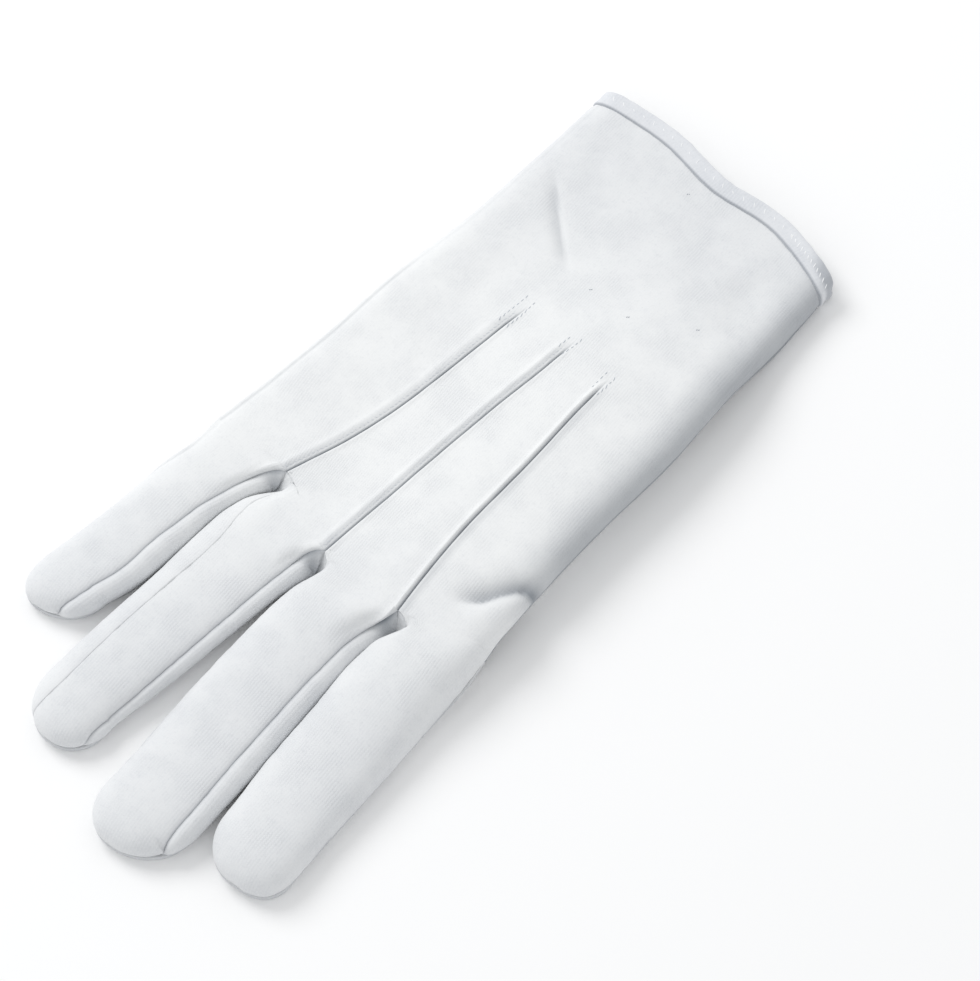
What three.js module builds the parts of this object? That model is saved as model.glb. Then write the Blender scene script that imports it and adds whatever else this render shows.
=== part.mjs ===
// Ribbed dress glove: a right-hand glove of white knitted cotton, lying palm down with its thumb
// folded flat under the hand.
//
// Millimetres, +Z up. The floor is z = 0, the fingers point to -Y, the cuff opens to +Y, and the
// index finger is on the +X side. The origin is on the floor under the middle of the glove. Each
// piece is the middle surface of its cloth, worked out row by row from the tables below, and then
// thickened to a closed wall.

import * as THREE from "three";

const { clamp, lerp, smoothstep } = THREE.MathUtils;

// Cloth and seams.
const CLOTH = 1.2;
const SEAM_GAP = 0.3;
const FLOOR_CLOTH_Z = CLOTH / 2;
const FOOT_Z = CLOTH + SEAM_GAP + 0.5; // middle of a side wall's foot, which leans in over the palm
const FOOT_INSET = 0.7; // the walls turn in by this much towards their foot
const FOOT_ANGLE = THREE.MathUtils.degToRad(40);
const PALM_INSET = 0.6; // the palm's cut edge lies this far inside the glove's widest line
const SIDE_Z = 3.6; // height of the widest line of a hand or finger that lies on the floor

// Rounding of the two long sides of the hand.
const SIDE_ROUND = 10;
const SIDE_ANGLES = [0, 25, 50, 72, 90].map(THREE.MathUtils.degToRad);

// The three points: tucks that stand up from the back.
const RIB_RISE = 1.1;
const RIB_HALF_WIDTH = 1.1;
const RIB_END_Y = { rib1: 53, rib2: 51, rib3: 46 };
const SIDE_SEAM_RISE = 0.4;

// The hem: the turned edge of the cuff.
const HEM_WIDTH = 5.7;
const HEM_OUT = 0.95;
const HEM_IN = 1.3;
const HEM_GAP = 0.45;
const HEM_CORNER = 4;
const HEM_CORNER_ANGLES = [30, 60, 90].map(THREE.MathUtils.degToRad);

// The thumb, flat under the index side of the palm, and how far it lifts the hand above it.
const THUMB_HEIGHT = 5.4;
const PALM_LIFT = THUMB_HEIGHT + SEAM_GAP;
const BACK_LIFT = 5.3;
const PALM_LIFT_X = [3, 23]; // the palm's lift starts and is full at these places across the hand
const BACK_LIFT_X = [-18, 34];
const PALM_LIFT_Y = [-42, -27, 60, 88]; // along the glove: starts, full, full, ends
const BACK_LIFT_Y = [-95, -22, 45, 104];

// The hand, from the hem seam to the knuckles. Each line is [x, y]: the pinky-side edge, the lines
// of the three points, and the index-side edge. crown is the height of the back's middle surface.
const HAND = [
  {
    at: "hem",
    crown: 8.5,
    pinky: [-28.9, 117],
    rib1: [-6, 116.4],
    rib2: [14, 111.6],
    rib3: [34, 110.8],
    index: [54.7, 102.8],
  },
  {
    at: "sleeve",
    crown: 8.8,
    pinky: [-30.6, 94],
    rib1: [-4, 94],
    rib2: [16, 92],
    rib3: [34, 89],
    index: [54.6, 83],
  },
  {
    at: "wrist",
    crown: 8.8,
    pinky: [-33.6, 64],
    rib1: [-0.5, 62],
    rib2: [16, 59],
    rib3: [31, 56],
    index: [54.2, 55],
  },
  {
    at: "heel",
    crown: 8.8,
    pinky: [-37.9, 40],
    rib1: [-3.8, 42],
    rib2: [13.6, 40],
    rib3: [28.7, 38],
    index: [54, 36],
  },
  {
    at: "palm",
    crown: 8.8,
    pinky: [-40.6, 12],
    rib1: [-8.8, 13],
    rib2: [9, 13],
    rib3: [27.9, 13],
    index: [51.8, 13],
  },
  {
    at: "arch",
    crown: 8.8,
    pinky: [-43.2, -6],
    rib1: [-13.8, -6],
    rib2: [5.4, -12],
    rib3: [26.5, -13],
    index: [50.6, -11],
  },
  {
    at: "knuckles",
    crown: 8.6,
    pinky: [-46.2, -22],
    rib1: [-20.8, -24],
    rib2: [1.8, -36.5],
    rib3: [27.4, -39.5],
    index: [50.2, -34],
  },
];
const LINES = ["pinky", "rib1", "rib2", "rib3", "index"];
const KNUCKLES = HAND.length - 1;

// The fingers, from the crotch to where the tip's rounding starts. left and right are the widest
// lines, seamLeft and seamRight how far the back's edge lies above them, measured round the
// finger, and null where the back goes down to the palm. tip is the far end of the fingertip.
const FINGERS = [
  {
    name: "pinky",
    seamLeft: null,
    seamRight: 6.5,
    top: 7.9,
    tip: [-48, -88.6],
    rows: [
      { y: -27, left: -46.8, right: -22.8 },
      { y: -33, left: -47.5, right: -26.6 },
      { y: -40, left: -48.4, right: -28.9 },
      { y: -55, left: -50.1, right: -30.4 },
      { y: -68, left: -52.2, right: -32.0 },
      { y: -78, left: -54.2, right: -35.4 },
    ],
  },
  {
    name: "ring",
    seamLeft: 10,
    seamRight: 6.5,
    top: 8.4,
    tip: [-21.5, -114.4],
    rows: [
      { y: -28, left: -20.9, right: 5 },
      { y: -33, left: -24.4, right: 3.5 },
      { y: -40, left: -26.9, right: 0.3 },
      { y: -48, left: -28.0, right: -2.2 },
      { y: -66, left: -29.2, right: -5.4 },
      { y: -84, left: -30.8, right: -8.4 },
      { y: -102, left: -32.0, right: -11.8 },
    ],
  },
  {
    name: "middle",
    seamLeft: 4,
    seamRight: 7,
    top: 8.6,
    tip: [8.5, -126.2],
    rows: [
      { y: -40, left: 3.0, right: 29 },
      { y: -45, left: 1.2, right: 25.8 },
      { y: -50, left: 0.3, right: 24.4 },
      { y: -62, left: -0.9, right: 23.8 },
      { y: -88, left: -1.4, right: 23.9 },
      { y: -112, left: -1.2, right: 23.4 },
    ],
  },
  {
    name: "index",
    seamLeft: 4,
    seamRight: null,
    top: 9.6,
    tip: [38.8, -116],
    rows: [
      { y: -42, left: 30.2, right: 50.0 },
      { y: -46, left: 28.3, right: 49.9 },
      { y: -51, left: 27.5, right: 49.8 },
      { y: -70, left: 27.1, right: 49.4 },
      { y: -90, left: 26.2, right: 49.1 },
      { y: -103, left: 26.5, right: 48.8 },
    ],
  },
];

// Rows of a finger: shares of the way from the crotch to the end of its body, then of its tip.
const BODY_STEPS = [0.05, 0.12, 0.22, 0.35, 0.5, 0.66, 0.83, 1];
const TIP_STEPS = [0.3, 0.55, 0.75, 0.88, 0.97];
const TIP_ROUND = 2.2;
const WEB_REACH = 8; // the web between two fingers slopes down to the palm over this length
const STRIP_GAP = 0.45; // seam gap of the strips, which bend away from the back
const CROTCH_GAP = 1.3; // between the back's crotch, where its two edges meet, and the web
const WEB_BULGE = 1.0;
const VALLEY_HALF = 1.25; // least half distance between the middle surfaces of two fingers' sides

// Soft folds of the back: a line, its half width, and how far the cloth sinks (or stands up).
const FOLDS = [
  { name: "cuff crease", from: [-25, 92], to: [3, 64], half: 4, depth: 1.0 },
  { name: "thumb-tip dent", from: [53, -12], to: [36, -24], half: 3.2, depth: 2.2 },
  { name: "dent's lower lip", from: [50, -20], to: [42, -28], half: 3.6, depth: -0.8 },
  { name: "cuff hollow", from: [38, 98], to: [50, 70], half: 7, depth: 0.9 },
];

// The thumb from its mouth in the palm to its tip: where its upper and lower wall are on the
// section, as [y, z], and its half width.
const THUMB_X = 36.8;
const THUMB_TOP_Z = THUMB_HEIGHT - CLOTH / 2;
const THUMB_SECTIONS = [
  { at: "mouth", top: [19, THUMB_TOP_Z], bottom: [55, THUMB_TOP_Z], half: 11.8 },
  { at: "ramp", top: [18, THUMB_TOP_Z], bottom: [51, 3.0], half: 12.2 },
  { at: "heel", top: [17, THUMB_TOP_Z], bottom: [43, 1.2], half: 12.5 },
  { at: "bend", top: [15.5, THUMB_TOP_Z], bottom: [32, FLOOR_CLOTH_Z], half: 12.6 },
  { at: "root", top: [12, THUMB_TOP_Z], bottom: [19, FLOOR_CLOTH_Z], half: 12.6 },
  { at: "ball", top: [4, THUMB_TOP_Z], bottom: [6, FLOOR_CLOTH_Z], half: 12.5 },
  { at: "joint", top: [-5, THUMB_TOP_Z], bottom: [-5, FLOOR_CLOTH_Z], half: 12.0 },
  { at: "end", top: [-13, THUMB_TOP_Z], bottom: [-13, FLOOR_CLOTH_Z], half: 11.0 },
  { at: "round", top: [-18.5, THUMB_TOP_Z - 0.3], bottom: [-18.5, FLOOR_CLOTH_Z], half: 8.6 },
  { at: "tip", top: [-22.5, THUMB_TOP_Z - 1], bottom: [-22.5, 1.0], half: 4.6 },
];
const THUMB_TIP_Y = -24.2;
const THUMB_SIDES = 18;
const THUMB_HOLE = { x: [27, 47], y: [23, 47] }; // in the palm, inside the thumb's mouth

// Colours.
const COTTON = new THREE.Color(0xf3f4f5);
const COTTON_HEM = new THREE.Color(0xf1f3f5);

// Rows between the table's rows.
const HAND_ROWS = 15;

// Curve through the rows of a table, at t rows from its start.
function throughRows(count, t, value) {
  const i = clamp(Math.floor(t), 0, count - 2);
  const f = t - i;
  const [a, b, c, d] = [i - 1, i, i + 1, i + 2].map((row) => value(clamp(row, 0, count - 1)));
  const cubic = (2 * b - 2 * c + (c - a) / 2 + (d - b) / 2) * f ** 3;
  const square = (3 * c - 3 * b - (c - a) - (d - b) / 2) * f ** 2;
  return cubic + square + ((c - a) / 2) * f + b;
}

// Height of a soft fold's line under (x, y), from 0 beside it to 1 on it.
function foldShare(fold, x, y) {
  const [ax, ay] = fold.from;
  const [bx, by] = fold.to;
  const length = Math.hypot(bx - ax, by - ay);
  const along = ((x - ax) * (bx - ax) + (y - ay) * (by - ay)) / length ** 2;
  const beside = ((x - ax) * (by - ay) - (y - ay) * (bx - ax)) / length;
  const ends = smoothstep(along, -0.15, 0.25) * (1 - smoothstep(along, 0.75, 1.15));
  return ends * Math.exp(-((beside / fold.half) ** 2));
}

function rampAlong([start, full, fullEnd, end], y) {
  return smoothstep(y, start, full) * (1 - smoothstep(y, fullEnd, end));
}

function palmLift(x, y) {
  return PALM_LIFT * smoothstep(x, ...PALM_LIFT_X) * rampAlong(PALM_LIFT_Y, y);
}

function backLift(x, y) {
  return BACK_LIFT * smoothstep(x, ...BACK_LIFT_X) * rampAlong(BACK_LIFT_Y, y);
}

function backHeight(crown, x, y) {
  const sink = FOLDS.reduce((sum, fold) => sum + fold.depth * foldShare(fold, x, y), 0);
  return crown + backLift(x, y) - sink;
}

// One station across the hand, t rows from the hem.
function handStation(t) {
  const at = (value) => throughRows(HAND.length, t, value);
  const station = { crown: at((row) => HAND[row].crown) };
  for (const line of LINES) {
    station[line] = new THREE.Vector2(at((row) => HAND[row][line][0]), at((row) => HAND[row][line][1]));
  }
  return station;
}

// A point of a station: 0 is the pinky edge, 1 to 3 the lines of the points, 4 the index edge.
function across(station, place) {
  const curve = (axis) => throughRows(LINES.length, place, (i) => station[LINES[i]][axis]);
  return new THREE.Vector2(curve("x"), curve("y"));
}

// The place that lies a length in from one of the hand's long edges.
function placeInside(station, side, length) {
  const [edge, line] = side === "pinky" ? ["pinky", "rib1"] : ["index", "rib3"];
  const share = length / station[edge].distanceTo(station[line]);
  return side === "pinky" ? share : LINES.length - 1 - share;
}

// Foot, side and shoulder of one of the hand's long edges.
function handEdge(station, side) {
  const edge = station[side];
  const inside = (length, z) => {
    const p = across(station, placeInside(station, side, length));
    return new THREE.Vector3(p.x, p.y, z);
  };
  const raise = palmLift(edge.x, edge.y);
  const crest = inside(SIDE_ROUND, 0);
  const top = backHeight(station.crown, crest.x, crest.y);
  const sideZ = Math.min(SIDE_Z + raise, top - 2);
  const shoulder = SIDE_ANGLES.map((angle) =>
    inside(SIDE_ROUND * (1 - Math.cos(angle)), lerp(sideZ, top, Math.sin(angle))),
  );
  return [inside(FOOT_INSET, FOOT_Z + raise), ...shoulder];
}

// The back's row of the hand, from the pinky side to the index side: eight steps in each of the
// four parts between the edges and the lines of the points.
function backHandRow(t) {
  const station = handStation(t);
  const onBack = (place) => {
    const p = across(station, place);
    return new THREE.Vector3(p.x, p.y, backHeight(station.crown, p.x, p.y));
  };
  const row = [];
  // Pinky side: foot, side and shoulder, then on to point 1.
  const ribWidth = (line) => RIB_HALF_WIDTH / station[LINES[line]].distanceTo(station[LINES[line + 1]]);
  row.push(...handEdge(station, "pinky"));
  row.push(onBack((1 + placeInside(station, "pinky", SIDE_ROUND)) / 2));
  row.push(onBack(1 - ribWidth(0)));
  // Between the points.
  for (const line of [1, 2]) {
    for (const share of [0, ribWidth(line), 0.2, 0.35, 0.5, 0.65, 0.8, 1 - ribWidth(line)]) {
      row.push(onBack(line + share));
    }
  }
  // From point 3 to the index side's shoulder, side and foot.
  row.push(onBack(3));
  row.push(onBack(3 + ribWidth(3)));
  row.push(onBack((3 + placeInside(station, "index", SIDE_ROUND)) / 2));
  row.push(...handEdge(station, "index").reverse());
  return row;
}
const BACK_STEPS = 8;

// The palm's row of the hand: six steps in each of the four parts.
const PALM_SHARES = [0, 0.12, 0.3, 0.5, 0.7, 0.88];
function palmHandRow(t) {
  const station = handStation(t);
  station.pinky.x += PALM_INSET;
  station.index.x -= PALM_INSET;
  ["rib1", "rib2", "rib3"].forEach((line, i) => {
    station[line].lerp(palmCrotch(i), smoothstep(t, KNUCKLES - 1.2, KNUCKLES));
  });
  const parts = [0, 1, 2, 3];
  const row = parts.flatMap((part) => PALM_SHARES.map((share) => across(station, part + share)));
  return [...row, station.index];
}

// The palm's crotch beside finger i: in the valley between two fingers, under the web's foot.
function palmCrotch(i) {
  const y = HAND.at(-1)[`rib${i + 1}`][1] - WEB_REACH;
  return new THREE.Vector2(valleyLine(i, y), y - PALM_INSET);
}

const onPalm = (p) => new THREE.Vector3(p.x, p.y, FLOOR_CLOTH_Z + palmLift(p.x, p.y));

// Widest lines of a finger at y, also a little way into the hand and out to the tip.
function fingerSides(finger, y) {
  const { rows } = finger;
  const end = rows.at(-1);
  let i = rows.findIndex((row) => row.y <= y);
  i = clamp(i < 0 ? rows.length - 1 : i, 1, rows.length - 1);
  const share = clamp((rows[i - 1].y - y) / (rows[i - 1].y - rows[i].y), -0.6, 1);
  const left = lerp(rows[i - 1].left, rows[i].left, share);
  const right = lerp(rows[i - 1].right, rows[i].right, share);
  const tip = clamp((end.y - y) / (end.y - finger.tip[1]), 0, 1);
  if (tip === 0) {
    return { left, right, tip };
  }
  const half = ((end.right - end.left) / 2) * (1 - tip ** TIP_ROUND) ** (1 / TIP_ROUND);
  const centre = lerp((end.left + end.right) / 2, finger.tip[0], tip ** 1.5);
  return { left: centre - half, right: centre + half, tip };
}

// Middle of the valley between finger i and the next.
function valleyLine(i, y) {
  return (fingerSides(FINGERS[i], y).right + fingerSides(FINGERS[i + 1], y).left) / 2;
}

// Cross-section of a finger at y as a dense line with its length: from the right foot over the top
// to the left foot. The section sinks and its side comes down towards the tip.
const SECTION_STEPS = 24;
function fingerSection(finger, y) {
  const { left, right, tip } = fingerSides(finger, y);
  const centre = (left + right) / 2;
  const half = (right - left) / 2;
  const sideZ = lerp(SIDE_Z, FOOT_Z + 0.9, smoothstep(tip, 0.3, 0.95));
  const fullTop = finger.top + backLift(centre, y);
  const top = lerp(FOOT_Z, fullTop, (1 - tip ** 2.6) ** (1 / 2.6));
  const inset = Math.min(FOOT_INSET, half / 3);
  const quarter = [];
  for (let i = 0; i <= SECTION_STEPS / 3; i += 1) {
    const angle = FOOT_ANGLE * (1 - (3 * i) / SECTION_STEPS);
    const inward = (1 - Math.cos(angle)) / (1 - Math.cos(FOOT_ANGLE));
    const down = Math.sin(angle) / Math.sin(FOOT_ANGLE);
    quarter.push([half - inset * inward, lerp(sideZ, FOOT_Z, down)]);
  }
  const side = quarter.length - 1;
  for (let i = 1; i <= SECTION_STEPS; i += 1) {
    const angle = (Math.PI / 2) * (i / SECTION_STEPS);
    quarter.push([half * Math.cos(angle) ** 0.85, lerp(sideZ, top, Math.sin(angle) ** 0.85)]);
  }
  const mirrored = quarter.slice(0, -1).reverse().map(([x, z]) => [-x, z]);
  const points = [...quarter, ...mirrored].map(([x, z]) => new THREE.Vector3(centre + x, y, z));
  const lengths = [0];
  for (let i = 1; i < points.length; i += 1) {
    lengths.push(lengths[i - 1] + points[i].distanceTo(points[i - 1]));
  }
  return { points, lengths, rightSide: lengths[side], leftSide: lengths[points.length - 1 - side], tip };
}

function pointOnSection(section, s) {
  const { points, lengths } = section;
  const i = clamp(lengths.findIndex((length) => length >= s), 1, lengths.length - 1);
  const share = (s - lengths[i - 1]) / (lengths[i] - lengths[i - 1]);
  return points[i - 1].clone().lerp(points[i], share);
}

// Where the back's two edges are on a finger's section, measured along the section from its right
// foot. Towards the tip the seams run down to the palm.
function seamPlaces(finger, section) {
  const total = section.lengths.at(-1);
  const down = smoothstep(section.tip, 0.1, 0.9);
  const { seamLeft, seamRight } = finger;
  const right = seamRight === null ? 0 : lerp(section.rightSide + seamRight, 0.5, down);
  const left = seamLeft === null ? total : lerp(section.leftSide - seamLeft, total - 0.5, down);
  return section.tip > 0.9 ? { right: 0, left: total } : { right, left };
}

// The rows of a finger: y and share of the body and of the tip.
function fingerRows(finger, rootY) {
  const endY = finger.rows.at(-1).y;
  const body = BODY_STEPS.map((share) => ({ y: lerp(rootY, endY, share), share }));
  const tip = TIP_STEPS.map((share) => ({ y: lerp(endY, finger.tip[1], share), share: 1 }));
  return [...body, ...tip];
}

const rootY = (row) => row.reduce((sum, p) => sum + p.y, 0) / row.length;

// How far a finger's row has left the hand's last row: 0 on the hand, 1 on the finger. It turns off
// at once, which makes the hooked ends of the seams.
const leaving = (share) => Math.sin((Math.PI / 2) * Math.min(share / 0.13, 1));

// The back's rows of one finger, following on from the hand's last row.
function backFingerRows(finger, root) {
  const y0 = rootY(root);
  const rows = fingerRows(finger, y0).map(({ y, share }) => {
    const section = fingerSection(finger, y);
    const seam = seamPlaces(finger, section);
    return root.map((from, i) => {
      const across = i / (root.length - 1);
      const place = lerp(seam.left, seam.right, across);
      const away = leaving(share);
      const point = pointOnSection(section, place);
      point.x = lerp(from.x, point.x, away);
      point.z = lerp(from.z, point.z, away);
      point.y = y + (from.y - y0) * (1 - away);
      return point;
    });
  });
  const last = rows.at(-1);
  rows.push(last.map((p) => new THREE.Vector3(lerp(finger.tip[0], p.x, 0.8), finger.tip[1], FOOT_Z + 0.2)));
  return rows;
}

function palmFingerRows(finger, root) {
  const y0 = rootY(root);
  const rows = fingerRows(finger, y0).map(({ y, share }) => {
    const { left, right } = fingerSides(finger, y);
    const away = smoothstep(share, 0, 0.2);
    return root.map((from, i) => {
      const across = lerp(left + PALM_INSET, right - PALM_INSET, i / (root.length - 1));
      return new THREE.Vector2(lerp(from.x, across, away), y + (from.y - y0) * (1 - away));
    });
  });
  const last = rows.at(-1);
  rows.push(last.map((p) => new THREE.Vector2(lerp(finger.tip[0], p.x, 0.9), finger.tip[1] - 0.4)));
  return rows;
}

// A sheet of cloth: points and four-sided cells, with an extra rise of its outer face at each point.
class Sheet {
  points = [];
  rises = [];
  cells = [];

  row(points, rises = points.map(() => 0)) {
    const first = this.points.length;
    this.points.push(...points);
    this.rises.push(...rises);
    return points.map((_, i) => first + i);
  }

  join(rowA, rowB, keep = () => true) {
    for (let i = 0; i + 1 < rowA.length; i += 1) {
      if (keep(this.points[rowA[i]].clone().lerp(this.points[rowB[i + 1]], 0.5))) {
        this.cells.push([rowA[i], rowB[i], rowB[i + 1], rowA[i + 1]]);
      }
    }
  }
}

// The closed wall round a sheet: a face on each side of it and a band along its free edges.
function thicken(sheet, outer = CLOTH / 2, inner = CLOTH / 2) {
  const used = [...new Set(sheet.cells.flat())];
  const place = new Map(used.map((index, i) => [index, i]));
  const triangles = [];
  for (const cell of sheet.cells) {
    const corners = [...new Set(cell)];
    for (let i = 1; i + 1 < corners.length; i += 1) {
      triangles.push([corners[0], corners[i], corners[i + 1]].map((index) => place.get(index)));
    }
  }
  const normals = used.map(() => new THREE.Vector3());
  for (const [a, b, c] of triangles) {
    const [pa, pb, pc] = [a, b, c].map((i) => sheet.points[used[i]]);
    const normal = pb.clone().sub(pa).cross(pc.clone().sub(pa));
    for (const i of [a, b, c]) {
      normals[i].add(normal);
    }
  }
  const count = used.length;
  const positions = [];
  for (const side of [1, -1]) {
    used.forEach((index, i) => {
      const reach = side === 1 ? outer + sheet.rises[index] : -inner;
      const offset = normals[i].clone().normalize().multiplyScalar(reach);
      positions.push(...sheet.points[index].clone().add(offset));
    });
  }
  const faces = [];
  const edges = new Map();
  for (const [a, b, c] of triangles) {
    faces.push(a, b, c, a + count, c + count, b + count);
    for (const [from, to] of [[a, b], [b, c], [c, a]]) {
      edges.set(`${from},${to}`, [from, to]);
    }
  }
  for (const [from, to] of edges.values()) {
    if (!edges.has(`${to},${from}`)) {
      faces.push(from, from + count, to + count, from, to + count, to);
    }
  }
  const geometry = new THREE.BufferGeometry();
  geometry.setAttribute("position", new THREE.Float32BufferAttribute(positions, 3));
  geometry.setIndex(faces);
  geometry.computeVertexNormals();
  return geometry;
}

// Rises of the back's outer face: the three points, which fade out at their ends, and the narrow
// ridge of the side seam.
function backRises(row) {
  const rises = row.map(() => 0);
  ["rib1", "rib2", "rib3"].forEach((line, i) => {
    const column = (i + 1) * BACK_STEPS;
    const { y } = row[column];
    rises[column] = RIB_RISE * (1 - smoothstep(y, RIB_END_Y[line] - 3, RIB_END_Y[line]));
  });
  rises[2] = SIDE_SEAM_RISE;
  return rises;
}

// The back with its four finger backs.
function backPanel() {
  const sheet = new Sheet();
  const hand = [];
  for (let i = 0; i <= HAND_ROWS; i += 1) {
    const row = backHandRow((KNUCKLES * i) / HAND_ROWS);
    hand.push(sheet.row(row, backRises(row)));
  }
  for (let i = 0; i < HAND_ROWS; i += 1) {
    sheet.join(hand[i], hand[i + 1]);
  }
  const knuckles = hand.at(-1);
  FINGERS.forEach((finger, i) => {
    let previous = knuckles.slice(i * BACK_STEPS, (i + 1) * BACK_STEPS + 1);
    const root = previous.map((index) => sheet.points[index]);
    for (const row of backFingerRows(finger, root)) {
      const next = sheet.row(row);
      sheet.join(previous, next);
      previous = next;
    }
  });
  return thicken(sheet);
}

// The palm with its four finger fronts and the thumb's hole.
function palmPanel() {
  const sheet = new Sheet();
  const { x: holeX, y: holeY } = THUMB_HOLE;
  const solid = (p) => p.x < holeX[0] || p.x > holeX[1] || p.y < holeY[0] || p.y > holeY[1];
  const hand = [];
  for (let i = 0; i <= HAND_ROWS; i += 1) {
    hand.push(sheet.row(palmHandRow((KNUCKLES * i) / HAND_ROWS).map(onPalm)));
  }
  for (let i = 0; i < HAND_ROWS; i += 1) {
    sheet.join(hand[i], hand[i + 1], solid);
  }
  const knuckles = hand.at(-1);
  const steps = PALM_SHARES.length;
  FINGERS.forEach((finger, i) => {
    let previous = knuckles.slice(i * steps, (i + 1) * steps + 1);
    const root = previous.map((index) => sheet.points[index]);
    for (const row of palmFingerRows(finger, root)) {
      const next = sheet.row(row.map(onPalm));
      sheet.join(previous, next);
      previous = next;
    }
  });
  return thicken(sheet);
}

// One strip between two fingers: down the right side of one, round the crotch, and down the left
// side of the next. Each row runs from the seam with the back to the foot on the palm.
const STRIP_STEPS = 5;
function fourchette(index) {
  const hand = backHandRow(KNUCKLES);
  const roots = [index, index + 1].map((i) => hand.slice(i * BACK_STEPS, (i + 1) * BACK_STEPS + 1));

  // The web starts midway between the two seams that run off from the back's crotch.
  const corner = roots[0].at(-1);
  const seamA = backFingerRows(FINGERS[index], roots[0])[0].at(-1).clone().sub(corner).normalize();
  const seamB = backFingerRows(FINGERS[index + 1], roots[1])[0][0].clone().sub(corner).normalize();
  const crotch = corner.clone().addScaledVector(seamA.add(seamB).normalize(), CROTCH_GAP);
  const webY = crotch.y - WEB_REACH;
  const webFoot = new THREE.Vector3(valleyLine(index, webY), webY, 0);
  const onFeet = (p) => new THREE.Vector3(p.x, p.y, FOOT_Z + palmLift(p.x, p.y));

  // Rows of one finger's side, from its crotch to its tip. outward is +1 on a right side. Above the
  // web's foot a row slopes down into the valley; past it, it goes round the finger's side.
  const sideRows = (finger, root, outward) => {
    const backRows = backFingerRows(finger, root).slice(0, BODY_STEPS.length + 4);
    const edges = backRows.map((row) => (outward > 0 ? row.at(-1) : row[0]));
    const inner = backRows.map((row) => (outward > 0 ? row.at(-2) : row[1]));
    const rows = edges.map((edge, j) => {
      const before = j > 0 ? edges[j - 1] : roots[0].at(-1);
      const after = edges[Math.min(j + 1, edges.length - 1)];
      const along = after.clone().sub(before).normalize();
      const away = edge.clone().sub(inner[j]);
      away.addScaledVector(along, -away.dot(along)).normalize();
      const past = smoothstep(webY - edge.y, -2, 2);
      const section = fingerSection(finger, edge.y);
      const steep = 1.7 * (1 - past) + 1.4 * smoothstep(section.tip, 0.3, 0.8);
      const seam = edge.clone().addScaledVector(away, STRIP_GAP * (1 + steep));
      const places = seamPlaces(finger, section);
      const start = outward > 0 ? places.right : places.left;
      const end = outward > 0 ? 0 : section.lengths.at(-1);
      const shift = seam.clone().sub(pointOnSection(section, start));
      const limit = valleyLine(index, edge.y) - outward * VALLEY_HALF;
      const fanFoot = webFoot.clone();
      fanFoot.x -= 0.3 * (j + 1) * outward;
      fanFoot.y -= 0.3 * (j + 1);
      const row = [];
      for (let i = 0; i <= STRIP_STEPS; i += 1) {
        const share = i / STRIP_STEPS;
        const round = pointOnSection(section, lerp(start, end, share)).addScaledVector(shift, 1 - share);
        round.x = outward > 0 ? Math.min(round.x, limit) : Math.max(round.x, limit);
        const slope = seam.clone().lerp(onFeet(fanFoot), share);
        slope.z += WEB_BULGE * Math.sin(Math.PI * share);
        row.push(slope.lerp(round, past));
      }
      return row;
    });
    // The strip's end stops short of the back's edge, which turns round the fingertip.
    const [beforeLast, last] = rows.slice(-2);
    last.forEach((point, i) => point.lerp(beforeLast[i], 0.45));
    return rows;
  };

  const web = [];
  for (let i = 0; i <= STRIP_STEPS; i += 1) {
    const point = crotch.clone().lerp(onFeet(webFoot), i / STRIP_STEPS);
    point.z += WEB_BULGE * Math.sin((Math.PI * i) / STRIP_STEPS);
    web.push(point);
  }

  const sheet = new Sheet();
  const rows = [
    ...sideRows(FINGERS[index], roots[0], 1).reverse(),
    web,
    ...sideRows(FINGERS[index + 1], roots[1], -1),
  ].map((row) => sheet.row(row));
  for (let i = 0; i + 1 < rows.length; i += 1) {
    sheet.join(rows[i + 1], rows[i]);
  }
  return thicken(sheet);
}

// The thumb: a flat tube from its mouth under the palm's hole to its closed tip.
function thumb() {
  const sheet = new Sheet();
  const rings = THUMB_SECTIONS.map(({ top, bottom, half }) => {
    const ring = [];
    for (let i = 0; i < THUMB_SIDES; i += 1) {
      const angle = (2 * Math.PI * i) / THUMB_SIDES;
      const across = Math.sign(Math.sin(angle)) * Math.abs(Math.sin(angle)) ** 0.7;
      const down = (1 - Math.sign(Math.cos(angle)) * Math.abs(Math.cos(angle)) ** 0.7) / 2;
      const [y, z] = [lerp(top[0], bottom[0], down), lerp(top[1], bottom[1], down)];
      ring.push(new THREE.Vector3(THUMB_X + half * across, y, z));
    }
    const row = sheet.row(ring);
    return [...row, row[0]];
  });
  for (let i = 0; i + 1 < rings.length; i += 1) {
    sheet.join(rings[i], rings[i + 1]);
  }
  const [tip] = sheet.row([new THREE.Vector3(THUMB_X, THUMB_TIP_Y, 2.6)]);
  sheet.join(rings.at(-1), rings.at(-1).map(() => tip));
  return thicken(sheet);
}

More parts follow.
